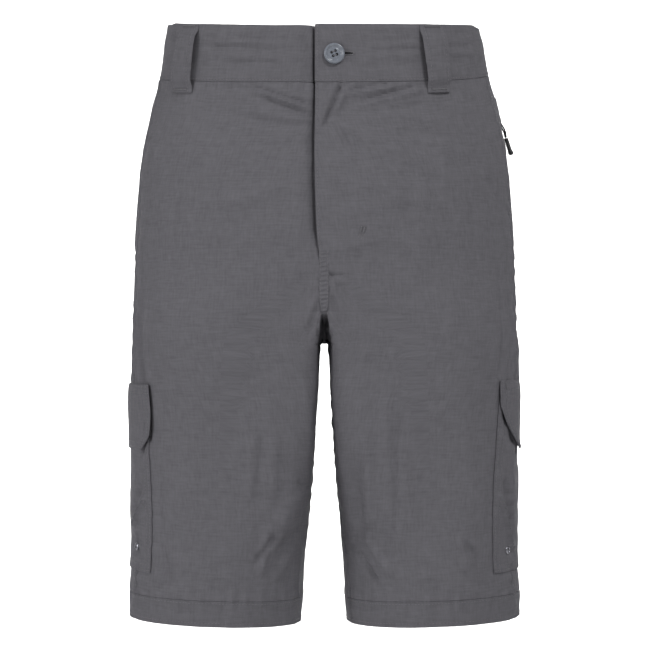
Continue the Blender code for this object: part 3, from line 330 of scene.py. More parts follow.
# Fly
SHIELD_X, FLY_ZIP_X, FLY_Z = (-26, 20), (-21, 11), (-46, -180)
SHIELD_BELOW, FLY_ROWS, FLY_COLS = 8, 40, 14
FOLD_ROOM = 0.2
CROTCH_SEAM_Z = -188         # where the fly ends and the felled seam starts
CROTCH_SEAM_X = (-4.4, 3.8)
CROTCH_STEP, CROTCH_COLS, CROTCH_CLOTH = 0.8, 10, 0.8
CROTCH_NARROW, CROTCH_NARROW_FROM, CROTCH_NARROW_OVER = 0.4, 44, 14
CROTCH_RUNG, CROTCH_RUNG_DEPTH, CROTCH_RUNGS_END = 3.9, 0.5, 64

# Hardware
BUTTON_R, BUTTON_T, BUTTON_RIM = 9.4, 3.2, 1.9
BUTTON_X, BUTTON_Z = 7.8, -13
BUTTON_HOLE_R, BUTTON_HOLE_OUT, BUTTON_TURN = 1.3, 2.5, 23
SHANK_R, SHANK_T, BUTTON_SLIP = 1.1, 0.6, 1.2
BUTTON_DISH, BUTTON_SHARP = 1.05, 45           # how deep its face is, and its sharp edges
BUTTONHOLE_END_X, BUTTONHOLE_COLS, BUTTONHOLE_BAR = 26, 40, 0.75
EYELET_R, EYELET_BORE, EYELET_T = 3.8, 1.9, 1.1
EYELETS = {"left": (167.5, -464.5), "right": (-171.5, -462)}
PULL_OUT = (0.95728, 0.20169, 0.20721)         # out of the cloth at the hip zip's slider
CORD_D, CORD_TURN_R = 1.5, 3
CORD_STRAND = ((0.8, 3, 5.5), (2, 2.9, 8.5), (3, 2.5, 12), (3.2, 1.9, 15),
               (3, 1.45, 18))
GRIP_COLUMNS = ("down", "out", "thickness", "width")
GRIP = ((18.4, 3, 2.8, 4.4), (19.2, 3.1, 3.6, 5.2), (24, 3.7, 3.7, 5.4),
        (30, 4.4, 3.8, 5.6), (33, 4.9, 4.6, 6.4), (34.6, 5, 4.4, 6.2),
        (35.4, 5, 3.2, 5))

GRIP_RINGS, GRIP_SIDES = 70, 28

# Beads: length, width and height, in metres
BAR_BEAD, BAR_PITCH = (0.0016, 0.0005, 0.0005), 0.00045
TACK_BEAD, TACK_PITCH = (0.0022, 0.0006, 0.0005), 0.00055
COIL_BEAD = (0.0042, 0.0010, 0.0012)
TACK_BAR = 0.55                                # millimetres of bartack to a bar
THREAD_HEIGHT = 0.7                            # as a share of its width
# How far in from an edge each row of stitches runs
PANEL_STITCHES = {"back_side": (1.6, 7.2), "inseam": (1.6, 7), "fly": 1.6}
POCKET_STITCHES, FLAP_STITCHES, FLAP_TOP_STITCHES = (1.8, 7), (2, 7.2), (1.6, 7.4)
FLY_STITCH_END_Z = -186
FLY_TACK_X, FLY_TACK_Z, FLY_TACK_LENGTH = 33.6, -173.5, 12.5

# Stage, in metres: name, place, target, size and the setting with its power
LIGHTS = (
    ("key_light", (1.1, -1.8, 1.8), (0, 0, -0.3), (0.8, 0.5), "key_power"),
    ("fill_light", (-2.5, -1.6, 0.1), (0, 0, -0.3), (1.2, 1.6), "fill_power"),
    ("backdrop_light_right", (-1.75, 3.3, -0.3), (-0.2, 5, -0.6), (1.2, 2.4),
     "backdrop_power"),
    ("backdrop_light_left", (1.75, 3.3, -0.3), (0.2, 5, -0.6), (1.2, 2.4), "backdrop_power"),
)
BACKDROP_FRONT, BACKDROP_BACK, BACKDROP_BEND = -8, 5, 1.6
BACKDROP_HEIGHT, BACKDROP_WIDTH = 6, 16

SKINS = {}                   # the outer skin of each piece made so far, for its stitching


# ---------------------------------------------------------------- settings

class ClothSettings(bpy.types.PropertyGroup):
    """The nylon that every panel is cut from."""
    colour: bpy.props.FloatVectorProperty(
        name="Cloth colour", description="Colour of the nylon", subtype="COLOR", size=3,
        min=0.0, max=1.0, default=(0.118, 0.115, 0.127))
    streaks: bpy.props.FloatProperty(
        name="Streaks", description="How much the yarns differ in shade",
        subtype="FACTOR", min=0.0, max=1.0, default=0.36)
    crinkle: bpy.props.FloatProperty(
        name="Crinkle depth", description="Height of the finest crinkles",
        unit="LENGTH", subtype="DISTANCE", min=0.0, max=0.002, default=0.0004)
    sway: bpy.props.FloatProperty(
        name="Sway", description="Strength of the cloth's broad unevenness",
        subtype="FACTOR", min=0.0, max=2.0, default=1.2)
    creases: bpy.props.FloatProperty(
        name="Creases", description="Strength of the placed creases and puckers",
        subtype="FACTOR", min=0.0, max=4.0, default=2.3)


class StitchSettings(bpy.types.PropertyGroup):
    """The sewing thread and how it is set."""
    pitch: bpy.props.FloatProperty(
        name="Stitch pitch", description="From one stitch to the next",
        unit="LENGTH", subtype="DISTANCE", min=0.001, max=0.01, default=0.0031)
    length: bpy.props.FloatProperty(
        name="Stitch length", description="Length of thread that shows",
        unit="LENGTH", subtype="DISTANCE", min=0.0005, max=0.01, default=0.0025)
    thickness: bpy.props.FloatProperty(
        name="Thread", description="Thickness of the thread",
        unit="LENGTH", subtype="DISTANCE", min=0.0001, max=0.002, default=0.00062)
    colour: bpy.props.FloatVectorProperty(
        name="Thread colour", description="Colour of the thread", subtype="COLOR", size=3,
        min=0.0, max=1.0, default=(0.13, 0.127, 0.139))


class HardwareSettings(bpy.types.PropertyGroup):
    """Button, eyelets, zips and the pull."""
    button_colour: bpy.props.FloatVectorProperty(
        name="Button colour", description="Colour of the waist button", subtype="COLOR",
        size=3, min=0.0, max=1.0, default=(0.15, 0.165, 0.195))
    metal_colour: bpy.props.FloatVectorProperty(
        name="Metal colour", description="Lacquer of the slider and eyelets",
        subtype="COLOR", size=3, min=0.0, max=1.0, default=(0.05, 0.05, 0.055))
    coil_pitch: bpy.props.FloatProperty(
        name="Coil pitch", description="From one turn of a zip's coil to the next",
        unit="LENGTH", subtype="DISTANCE", min=0.0005, max=0.005, default=0.0015)


class StageSettings(bpy.types.PropertyGroup):
    """The plain pale studio."""
    floor_drop: bpy.props.FloatProperty(
        name="Floor drop", description="From the waist down to the floor",
        unit="LENGTH", subtype="DISTANCE", min=0.6, max=3.0, default=1.3)
    room_light: bpy.props.FloatProperty(
        name="Room light", description="Strength of the white room", min=0.0, max=5.0,
        default=0.47)
    key_power: bpy.props.FloatProperty(
        name="Key light", description="Power of the light high up at the front", unit="POWER",
        min=0.0, max=500.0, default=37.0)
    fill_power: bpy.props.FloatProperty(
        name="Fill light", description="Power of the soft light across from the key",
        unit="POWER", min=0.0, max=500.0, default=31.0)
    backdrop_power: bpy.props.FloatProperty(
        name="Backdrop light", description="Power of the lights on the backdrop",
        unit="POWER", min=0.0, max=1000.0, default=85.0)


SETTINGS = (("trousers_cloth", ClothSettings), ("trousers_stitch", StitchSettings),
            ("trousers_hardware", HardwareSettings), ("trousers_stage", StageSettings))


# ---------------------------------------------------------------- curves and sections

def column(table, columns, name):
    """One named column of a table, as an array."""
    return np.array([row[columns.index(name)] for row in table], float)


def smooth_curve(at, knots, values):
    """A smooth curve through the knots that never overshoots them."""
    order = np.argsort(knots)
    x, y = np.asarray(knots, float)[order], np.asarray(values, float)[order]
    step = np.diff(x)
    slope = np.diff(y) / step
    tangent = np.zeros_like(y)
    same_way = slope[:-1] * slope[1:] > 0
    w0, w1 = 2 * step[1:] + step[:-1], step[1:] + 2 * step[:-1]
    with np.errstate(divide="ignore", invalid="ignore"):
        mean = (w0 + w1) / (w0 / slope[:-1] + w1 / slope[1:])
    tangent[1:-1] = np.where(same_way, mean, 0.0)
    tangent[0], tangent[-1] = slope[0], slope[-1]
    at = np.clip(np.asarray(at, float), x[0], x[-1])
    i = np.clip(np.searchsorted(x, at) - 1, 0, len(step) - 1)
    t = (at - x[i]) / step[i]
    return ((1 + 2 * t) * (1 - t) ** 2 * y[i] + t * (1 - t) ** 2 * step[i] * tangent[i]
            + t * t * (3 - 2 * t) * y[i + 1] + t * t * (t - 1) * step[i] * tangent[i + 1])


def ease(t):
    t = np.clip(t, 0.0, 1.0)
    return t * t * (3 - 2 * t)


def unit(ways):
    size = np.linalg.norm(ways, axis=-1, keepdims=True)
    return ways / np.maximum(size, 1e-9)


def run_along(steps):
    """Distances from the start of a line, from the lengths of its steps."""
    return np.concatenate([[0.0], np.cumsum(steps)])


def step_lengths(points, axis=0):
    return np.linalg.norm(np.diff(points, axis=axis), axis=-1)


def looked_up(at, table, columns, name):
    """One column of a table at values of its first column."""
    return smooth_curve(at, column(table, columns, columns[0]), column(table, columns, name))


def section(z, name):
    return looked_up(z, SECTIONS, SECTION_COLUMNS, name)


def inner_leg(z, name):
    return looked_up(z, INNER_LEG, INNER_COLUMNS, name)


def fly_edge(z):
    return looked_up(z, FLY_EDGE, FLY_COLUMNS, "x")


def oval(z, face):
    """Centre, half width, depth and power of one half's section, front or back.

    It is the whole body's oval high up, and the leg's own oval below the fork.
    """
    z = np.asarray(z, float)
    half = section(z, "half_width")
    rise = np.clip((FORK_Z + CROTCH_RAMP[face] - z) / CROTCH_RAMP[face], 0.0, 1.0)
    body_width = half / (2 - (1 - rise ** CROTCH_POWER) ** CROTCH_EASE)
    gap = inner_leg(z, "half_gap")
    above = z > FORK_Z
    width = np.where(above, body_width, (half - gap) / 2)
    centre = np.where(above, half - body_width, (half + gap) / 2)
    return centre, width, section(z, face + "_depth"), section(z, face + "_power")


def inner_power(z, face):
    """The power of the section on its inner side, which is squarer near the fork."""
    start, full, fade, end = INNER_POWER_Z
    share = ease((start - z) / (start - full)) * ease((z - end) / (fade - end))
    plain = section(z, face + "_power")
    return plain + (INNER_POWER[face] - plain) * share


def on_section(z, turn):
    """Points at turns round the sections: 0 outside, -90 degrees front, 90 back."""
    turn = (np.asarray(turn, float) + math.pi) % (2 * math.pi) - math.pi
    fronts, backs = oval(z, "front"), oval(z, "back")
    centre, width, depth, power = (np.where(turn < 0, f, b) for f, b in zip(fronts, backs))
    c, s = np.cos(turn), np.sin(turn)
    inner = np.where(turn < 0, inner_power(z, "front"), inner_power(z, "back"))
    power = np.where(c < 0, inner, power)
    x = centre + width * np.copysign(np.abs(c) ** (2 / power), c)
    near = np.exp(-((x - inner_leg(z, "half_gap")) / FORK_GAP_REACH) ** 2)
    x = x + np.where(np.asarray(z) <= FORK_Z, inner_leg(z, "fork_gap") * near, 0.0)
    return x, np.copysign(depth * np.abs(s) ** (2 / power), s)


def turn_at_x(z, face, x):
    """The size of the turn at which the section reaches x."""
    centre, width, _, power = oval(z, face)
    share = np.clip((x - centre) / width, -1.0, 1.0)
    power = np.where(share < 0, inner_power(z, face), power)
    return np.arccos(np.copysign(np.abs(share) ** (power / 2), share))


def turn_at_depth(z, y, power=None):
    """The turn, on the outside and ahead of the middle, at which it is y forward."""
    _, _, depth, outer_power = oval(z, "front")
    power = outer_power if power is None else power
    return np.arcsin(np.minimum(1.0, y / depth) ** (power / 2))


def hook_turn(z, face):
    """The turn that the middle line follows down the leg, below the hook's start."""
    start = turn_at_x(HOOK_Z, face, SEAM_GAP / 2)
    low = LOW_TURN[face] * math.pi
    return start + (low - start) * ease((HOOK_Z - z) / (HOOK_Z - LOW_TURN_Z))


def hook_height(face, turn):
    """The height at which the crotch seam passes a turn."""
    heights = np.linspace(HOOK_Z, FORK_Z, 240)
    return np.interp(turn, turn_at_x(heights, face, 0.0), heights)


def level_tilt(side, x, y, z):
    """How far points of a level are moved up or down by the sloping waist and hem."""
    def edge_height(edge):
        at_side, at_front, at_back = edge[side]
        ahead = np.minimum(1.0, -y / section(z, "front_depth"))
        behind = np.minimum(1.0, y / section(z, "back_depth"))
        return np.where(y < 0, at_side + (at_front - at_side) * ahead,
                        at_side + (at_back - at_side) * behind)
    corner = WAIST_CORNER[1] * ease((np.abs(x) - WAIST_CORNER[0]) / WAIST_CORNER[2])
    top = edge_height(WAIST_TOP) - WAIST_TOP_Z - corner
    seam = edge_height(WAIST_SEAM) - WAIST_SEAM_Z
    share = (z - WAIST_SEAM_Z) / (WAIST_TOP_Z - WAIST_SEAM_Z)
    fade = ease((z - TILT_END_Z) / (WAIST_SEAM_Z - TILT_END_Z))
    hem = HEM_SLOPE * (x - LEG_MIDDLE_X) * ease((FORK_Z - z) / (FORK_Z - HEM_Z))
    return np.where(z > WAIST_SEAM_Z, seam + (top - seam) * share, seam * fade + hem)


def ridge(x, z, x0, z0, x1, z1, width, height, grow=FOLD_GROW):
    """A soft ridge, or a trough when its height is below 0, from one spot to another."""
    dx, dz = x1 - x0, z1 - z0
    run = math.hypot(dx, dz)
    along = ((x - x0) * dx + (z - z0) * dz) / run
    across = ((x - x0) * dz - (z - z0) * dx) / run
    middle = ease(along / (grow * run)) * ease((run - along) / (FOLD_FADE * run))
    return height * np.exp(-(across / width) ** 2) * middle


def fold_relief(points, normals, table):
    """How far a table's folds push each point out."""
    out = np.zeros(points.shape[:-1])
    for face, folds in table.items():
        facing = normals[..., 1] * (-1 if face == "front" else 1)
        for fold in folds:
            out += ridge(points[..., 0], points[..., 2], *fold) * ease(facing / FOLD_FACING)
    return out


def ripples(points, wave):
    """Smooth unevenness, of the given size along X, Y and Z, between about -1 and 1."""
    spots = (points / wave).reshape(-1, 3).tolist()
    return np.array([noise.noise(spot) for spot in spots]).reshape(points.shape[:-1])


def layered(points, waves):
    """Ripples of several sizes, each (size along X, Y and Z, depth), added up."""
    return sum(depth * ripples(points, wave) for wave, depth in waves)


def puckers(kind, distance, along, seed):
    """Ripples beside a seam, uneven in length and depth, that die out away from it."""
    pitch, reach, depth = PUCKERS[kind]
    spots = np.stack([along / (2.2 * pitch), distance / 30.0, np.full_like(along, seed)], -1)
    drift = ripples(spots, 1.0)
    spots = np.stack([along / (3.1 * pitch), np.full_like(along, 4.7),
                      np.full_like(along, seed)], -1)
    strength = 0.45 + 0.75 * np.abs(ripples(spots, 1.0))
    wave = np.sin(2 * math.pi * along / pitch + 3.2 * drift)
    return depth * strength * wave * np.exp(-(distance / reach) ** 2)


def cell_normals(points):
    """A vector square to each cell of a grid, twice as long as the cell's area."""
    a, b, c, d = points[:-1, :-1], points[1:, :-1], points[1:, 1:], points[:-1, 1:]
    return np.cross(c - a, d - b)


class Half:
    """The outer surface of one half of the garment, as a fine grid of points.

    Columns run from the inseam or centre front, round the outside, to the centre back or
    inseam. Rows run from the waist down. The columns of the inner leg start at the hook.
    `smooth` has the form with its largest folds, and `points` has every crease.
    """

    def __init__(self, side, sway, creases):
        self.side, self.sign = side, (1 if side == "left" else -1)
        self.pocket_front = POCKET_FRONT_S[side]
        rows = [np.linspace(a, b, n + 1)[1:] for a, b, n
                in zip(ROW_STOPS, ROW_STOPS[1:], ROW_COUNTS)]
        self.levels = np.concatenate([[WAIST_TOP_Z], *rows])
        self.seam_row, self.hook_row, self.hem_row = (
            self.row_at(z) for z in (WAIST_SEAM_Z, HOOK_Z, HEM_SEAM_Z))
        self.front_col = HOOK_COLS
        self.side_col = HOOK_COLS + FRONT_REST + FRONT_NEAR
        self.back_col = self.side_col + BACK_NEAR + BACK_REST
        self.main = slice(self.front_col, self.back_col + 1)
        self.pocket_cols = slice(self.side_col - FRONT_NEAR, self.side_col + BACK_NEAR + 1)
        shape = (len(self.levels), self.back_col + HOOK_COLS + 1)
        self.keep = np.ones((shape[0] - 1, shape[1] - 1), bool)
        self.keep[:self.hook_row, :self.front_col] = False
        self.keep[:self.hook_row, self.back_col:] = False
        self.level = np.tile(self.levels[:, None], (1, shape[1]))
        turn = np.zeros(shape)
        self.round = np.zeros(shape)
        for row, z in enumerate(self.levels):
            self.lay_main(row, z, turn)
        self.lay_inner("front", turn)
        self.lay_inner("back", turn)
        x, y = on_section(self.level, turn)
        z = self.level + level_tilt(side, x, y, self.level)
        self.smooth = np.stack([self.sign * x, y, z], -1)
        self.finish(sway, creases)

    def row_at(self, z):
        return int(np.argmin(abs(self.levels - z)))

    def between_rows(self, z):
        """The row just above a level, and how far down to the next the level lies."""
        row = np.clip(np.searchsorted(-self.levels, -z) - 1, 0, len(self.levels) - 2)
        return row, (self.levels[row] - z) / (self.levels[row] - self.levels[row + 1])

    def ways_out(self, points):
        """Outward normals at the points, from the cells around each one."""
        faces = cell_normals(points) * self.keep[..., None]
        total = np.zeros_like(points)
        for rows, cols in ((slice(0, -1), slice(0, -1)), (slice(1, None), slice(0, -1)),
                           (slice(1, None), slice(1, None)), (slice(0, -1), slice(1, None))):
            total[rows, cols] += faces
        legs = slice(self.hook_row, None)
        total[legs, 0] = total[legs, -1] = total[legs, 0] + total[legs, -1]
        return self.sign * unit(total)

    def lay_main(self, row, z, turn):
        """Spread the main columns of one level at even distances round from the seam."""
        if z <= HOOK_Z:
            first, last = -hook_turn(z, "front"), hook_turn(z, "back")
        else:
            first = -turn_at_x(z, "front", self.sign * fly_edge(z) + SEAM_GAP / 2)
            last = turn_at_x(z, "back", SEAM_GAP / 2)
        turns = np.linspace(first, last, ROUND_SAMPLES)
        x, y = on_section(np.full(ROUND_SAMPLES, z), turns)
        run = run_along(np.hypot(np.diff(x), np.diff(y)))
        run -= np.interp(-turn_at_depth(z, section(z, "seam_forward")), turns, run)
        stops = np.concatenate([
            run[0] + (self.pocket_front - run[0]) * np.linspace(
                0.0, 1.0, FRONT_REST + 1)[:-1] ** FLY_CROWDING,
            np.linspace(self.pocket_front, 0.0, FRONT_NEAR + 1)[:-1],
            POCKET_BACK_S * np.linspace(0.0, 1.0, BACK_NEAR + 1)[:-1] ** BACK_CROWDING,
            np.linspace(POCKET_BACK_S, run[-1], BACK_REST + 1)])
        turn[row, self.main] = np.interp(stops, run, turns)
        self.round[row, self.main] = stops

    def lay_inner(self, face, turn):
        """Lay the columns inside the leg, whose first row is the crotch seam."""
        start = turn_at_x(HOOK_Z, face, SEAM_GAP / 2)
        fade = ease((self.levels - HOOK_FADE_Z) / (HOOK_Z - HOOK_FADE_Z))
        for i in range(1, HOOK_COLS + 1):
            share = (i / HOOK_COLS) ** HOOK_CROWDING
            hook = start + share * (math.pi - start)
            here = self.levels + (hook_height(face, hook) - HOOK_Z) * fade
            first = hook_turn(here, face)
            lead = turn_at_depth(here, inner_leg(here, "inseam_forward"),
                                 inner_power(here, "front"))
            lead = np.where(here <= FORK_Z, lead, 0.0)
            last = math.pi + (-lead if face == "front" else lead)
            spread = first + share * (last - first)
            spread[self.hook_row] = hook
            col = self.front_col - i if face == "front" else self.back_col + i
            self.level[self.hook_row:, col] = here[self.hook_row:]
            turn[self.hook_row:, col] = (spread * (-1 if face == "front" else 1)
                                         )[self.hook_row:]

    def finish(self, sway, creases):
        """Work the folds, puckers and ripples into the cloth."""
        bare = self.ways_out(self.smooth)
        relief = fold_relief(self.smooth, bare, FOLDS)
        if self.side == "right":
            relief += self.lap_dip()
        self.smooth = self.smooth + bare * relief[..., None]
        self.fold_crotch_in()
        self.normals = self.ways_out(self.smooth)
        self.measure_inner()
        fine = fold_relief(self.smooth, self.normals, CREASES) + self.seam_puckers()
        for fold in SIDE_CREASES[self.side]:
            fine += ridge(self.round, self.level, *fold, grow=SIDE_CREASE_GROW)
        fine = creases * fine + self.seam_ridges()
        for wave, depth in SWAY:
            fine += sway * depth * ripples(self.smooth, wave)
        self.points = self.smooth + self.normals * fine[..., None]
        for skin in (self.smooth, self.points):
            inner = skin[self.hook_row:]
            inner[..., 0] = self.sign * np.maximum(self.sign * inner[..., 0], SEAM_GAP / 2)

    def lap_dip(self):
        """The wearer's right front dips under the lapped edge of the left."""
        x, y = self.smooth[..., 0], self.smooth[..., 1]
        depth = np.where(self.level > WAIST_SEAM_Z - 1, LAP_DIP["band"], LAP_DIP["panel"])
        near = ease((LAP_DIP_END + x) / (LAP_DIP_END - LAP_DIP_START))
        wide = GROOVE_WIDTH["band"] + (GROOVE_WIDTH["panel"] - GROOVE_WIDTH["band"]) * ease(
            (WAIST_SEAM_Z - self.level) / GROOVE_GROW)
        groove = GROOVE_DEPTH * np.exp(-((x - fly_edge(self.level)) / wide) ** 2)
        fade = ease((self.level - GROOVE_END_Z) / GROOVE_FADE)
        return -(depth * near + groove) * fade * (y < 0) * (x < 0)

    def fold_crotch_in(self):
        """Draw the cloth on both sides of the crotch seam in between the legs."""
        x, y, z = (self.smooth[..., k] for k in range(3))
        depth = np.where(y < 0, CROTCH_TUCK["front"], -CROTCH_TUCK["back"])
        fade = ease((TUCK_TOP_Z - z) / TUCK_DROP) * ease((z - TUCK_END_Z) / TUCK_FADE)
        wide = np.interp(z, (FORK_Z, TUCK_TOP_Z), TUCK_WIDTH[::-1])
        depth = depth * fade * ease(np.abs(y) / TUCK_FROM_Y) * np.exp(-(x / wide) ** 4)
        self.smooth[..., 1] = y + depth

    def measure_inner(self):
        """How far round the inner columns lie, measured along the cloth."""
        steps = step_lengths(self.smooth, 1)
        f, b = self.front_col, self.back_col
        ahead = np.cumsum(steps[:, :f][:, ::-1], axis=1)[:, ::-1]
        self.round[:, :f] = self.round[:, f:f + 1] - ahead
        self.round[:, b + 1:] = self.round[:, b:b + 1] + np.cumsum(steps[:, b:], axis=1)

    def seam_puckers(self):
        z, s, x = self.level, self.round, self.smooth[..., 0]
        ahead = self.smooth[..., 1] < 0
        in_leg = z < FORK_Z
        out = puckers("waist", np.abs(z - WAIST_SEAM_Z - 2.0), s, 1.3) * (z < WAIST_SEAM_Z)
        low = 1.0 + SIDE_PUCKER_MORE * ease((SIDE_PUCKER_Z - z) / SIDE_PUCKER_FADE)
        out += puckers("side", np.abs(s), z, 2.9) * (z < WAIST_SEAM_Z) * low
        inseam = np.minimum(s - s[:, :1], s[:, -1:] - s)
        out += puckers("inseam", inseam, z, 5.1) * in_leg
        seam = (z < -180.0) * ahead + (z < WAIST_SEAM_Z) * ~ahead
        out += puckers("centre", np.abs(x), z, 7.7) * seam * (z > HOOK_Z - 10.0)
        pocket = (z < -300.0) * (z > HEM_SEAM_Z + 15.0)
        out += puckers("pocket_edge", np.abs(s - self.pocket_front), z, 8.9) * pocket
        out += puckers("pocket_edge", np.abs(s - POCKET_BACK_S), z, 3.4) * pocket
        over = (s > self.pocket_front) * (s < POCKET_BACK_S)
        out += puckers("flap_top", np.abs(z + 306.0), s, 6.2) * over
        out += puckers("hem", np.abs(z - HEM_SEAM_Z), s, 9.6)
        return out

    def seam_ridges(self):
        """The double layer beside a felled side seam and inseam."""
        z, s = self.level, self.round
        panel = (z < WAIST_SEAM_Z) * (z > HEM_SEAM_Z)
        side = ease(s / SEAM_RIDGE_EDGE) * ease((SEAM_RIDGE_WIDTH - s) / SEAM_RIDGE_EDGE)
        end = s[:, -1:] - s
        inseam = ease((SEAM_RIDGE_WIDTH - end) / SEAM_RIDGE_EDGE) * (z < FORK_Z)
        return SEAM_RIDGE * panel * (side + inseam)

    def lay(self, s, z):
        """Points and ways out at distances round from the side seam and at levels."""
        s, z = np.broadcast_arrays(np.asarray(s, float), np.asarray(z, float))
        row, share = self.between_rows(z)
        spots, ways = np.zeros(s.shape + (3,)), np.zeros(s.shape + (3,))
        for r in np.unique(row):
            here = row == r
            for k in range(3):
                for skin, into in ((self.smooth, spots), (self.normals, ways)):
                    a, b = (np.interp(s[here], self.round[i, self.main],
                                      skin[i, self.main, k]) for i in (r, r + 1))
                    into[here, k] = a + (b - a) * share[here]
        return spots, unit(ways)

    def round_at_x(self, face, x, z):
        """How far round from the side seam the front or back passes x, at level z."""
        cols = (slice(self.front_col, self.side_col + 1) if face == "front"
                else slice(self.side_col + BACK_NEAR // 2, self.back_col + 1))
        way = 1 if face == "front" else -1
        row, share = self.between_rows(z)
        a, b = (np.interp(abs(x), self.sign * self.smooth[r, cols, 0][::way],
                          self.round[r, cols][::way]) for r in (row, row + 1))
        return float(a + (b - a) * share)


@lru_cache
def half_of(side):
    cloth = bpy.context.scene.trousers_cloth
    return Half(side, cloth.sway, cloth.creases)


# ---------------------------------------------------------------- meshes

def shelled(points, normals, thickness, out):
    """The outer and inner skins of cloth at a distance out from the points."""
    out = np.asarray(out, float)[..., None] if np.ndim(out) else out
    return points + normals * (out + thickness), points + normals * out


def pull_in(grid, axis, end, distance):
    """Move one border of a grid of points towards the points beside it."""
    moved = grid.copy()
    index, beside = (0, 1) if end == "first" else (-1, -2)
    if axis == "rows":
        moved[index] += unit(grid[beside] - grid[index]) * distance
    else:
        moved[:, index] += unit(grid[:, beside] - grid[:, index]) * distance
    return moved


def tuck(thickness):
    """How far a rounded edge stands back from its seam line."""
    return EDGE_ROUND * thickness - SEAM_MEET


def close_mesh(name, verts, faces, uvs, sharp=35.0):
    """A closed mesh from arrays, in metres, with its faces pointing out."""
    used = np.unique(np.concatenate([np.ravel(f) for f in faces]))
    order = np.full(len(verts), -1)
    order[used] = np.arange(len(used))
    mesh = bpy.data.meshes.new(name)
    mesh.from_pydata((verts[used] * MM).tolist(), [],
                     [row for f in faces for row in order[f].tolist()])
    layer = mesh.uv_layers.new(name="UVMap")
    corners = np.zeros(len(mesh.loops), int)
    mesh.loops.foreach_get("vertex_index", corners)
    layer.data.foreach_set("uv", (uvs[used][corners] * MM).ravel())
    work = bmesh.new()
    work.from_mesh(mesh)
    bmesh.ops.recalc_face_normals(work, faces=work.faces)
    work.to_mesh(mesh)
    work.free()
    mesh.shade_smooth()
    mesh.set_sharp_from_angle(angle=math.radians(sharp))
    return mesh


def wall(name, outer, inner, uv, keep=None, ring=False):
    """Close two matching grids of points into one wall with rounded edges."""
    rows, cols = outer.shape[:2]
    across = cols if ring else cols - 1
    keep = np.ones((rows - 1, across), bool) if keep is None else keep
    index = np.arange(rows * cols).reshape(rows, cols)
    left = index[:, :across]
    right = np.roll(index, -1, 1) if ring else index[:, 1:]
    a, b, c, d = left[:-1], left[1:], right[1:], right[:-1]
    beyond = np.pad(keep, ((1, 1), (0, 0)))
    beyond = np.pad(beyond, ((0, 0), (1, 1)), mode="wrap" if ring else "constant")
    sides = ((a, b, d, c, beyond[1:-1, :-2]), (b, c, a, d, beyond[2:, 1:-1]),
             (c, d, b, a, beyond[1:-1, 2:]), (d, a, c, b, beyond[:-2, 1:-1]))
    flat_out, flat_in = outer.reshape(-1, 3), inner.reshape(-1, 3)
    away = np.zeros_like(flat_out)
    rims = []
    for p, q, p_in, q_in, joined in sides:
        border = keep & ~joined
        for here, inside in ((p[border], p_in[border]), (q[border], q_in[border])):
            np.add.at(away, here, unit(flat_out[here] - flat_out[inside]))
        rims.append(np.stack([p[border], q[border]], -1))
    rims = np.concatenate(rims)
    thick = np.linalg.norm(flat_out - flat_in, axis=-1, keepdims=True)
    middle = (flat_out + flat_in) / 2 + unit(away) * thick * EDGE_ROUND
    count = rows * cols
    cells = np.stack([a, b, c, d], -1)[keep]
    p, q = rims[:, 0], rims[:, 1]
    faces = [cells, cells[:, ::-1] + count,
             np.stack([q, p, p + 2 * count, q + 2 * count], -1),
             np.stack([q + 2 * count, p + 2 * count, p + count, q + count], -1)]
    verts = np.concatenate([flat_out, flat_in, middle])
    return close_mesh(name, verts, faces, np.tile(uv.reshape(-1, 2), (3, 1)))


def placed(name, data):
    """An object in the scene with the given mesh, camera or light."""
    made = bpy.data.objects.new(name, data)
    bpy.context.scene.collection.objects.link(made)
    return made


def mesh_from(name, work, sharp=None):
    """A smooth mesh from a bmesh, which goes; edges above an angle stay sharp."""
    mesh = bpy.data.meshes.new(name)
    work.to_mesh(mesh)
    work.free()
    mesh.shade_smooth()
    if sharp is not None:
        mesh.set_sharp_from_angle(angle=math.radians(sharp))
    return mesh


def closed(grid):
    """A ring's grid with its first column repeated at the end."""
    return np.concatenate([grid, grid[:, :1]], axis=1)


def add_piece(name, mesh, finish, replaces=(), body=GARMENT):
    """Show a finished mesh as a piece of the part."""
    mesh.materials.clear()
    mesh.materials.append(finish_of(finish))
    made = placed(name, mesh)
    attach(made, body)
    if replaces:
        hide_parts(*replaces)
    return made


def declare_cut(outer, keep=None, ring=False):
    """Measure a piece of cloth's level steps, lengths and cell areas; the results are not kept.
    """
    points = closed(outer) if ring else outer
    across, down = step_lengths(points[..., :2], 1), step_lengths(points)
    cells = np.linalg.norm(cell_normals(points), axis=-1) / 2
    if keep is not None:
        cells = cells * keep
        across[:-1] *= keep
        down[:, :-1] *= keep


def sewn(name, skins, normals, uv, slot, node, keep=None, ring=False, cut=True):
    """A piece of cloth or tape from its two skins; the cloth's flat size is measured but not
    kept.
    """
    SKINS[name] = (skins[0], normals)
    mesh = wall(name, skins[0], skins[1], uv, keep, ring)
    piece = add_piece(name, mesh, slot, [node])
    if cut:
        declare_cut(skins[0], keep, ring)


def stacked_rings(name, rings, uv, sharp):
    """A closed mesh through rings of points, with a flat cap at each end."""
    count, sides = rings.shape[:2]
    index = np.arange(count * sides).reshape(count, sides)
    after = np.roll(index, -1, 1)
    cells = np.stack([index[:-1], index[1:], after[1:], after[:-1]], -1).reshape(-1, 4)
    caps = np.concatenate([index[:1, ::-1], index[-1:]])
    return close_mesh(name, rings.reshape(-1, 3), [cells, caps], uv.reshape(-1, 2), sharp)


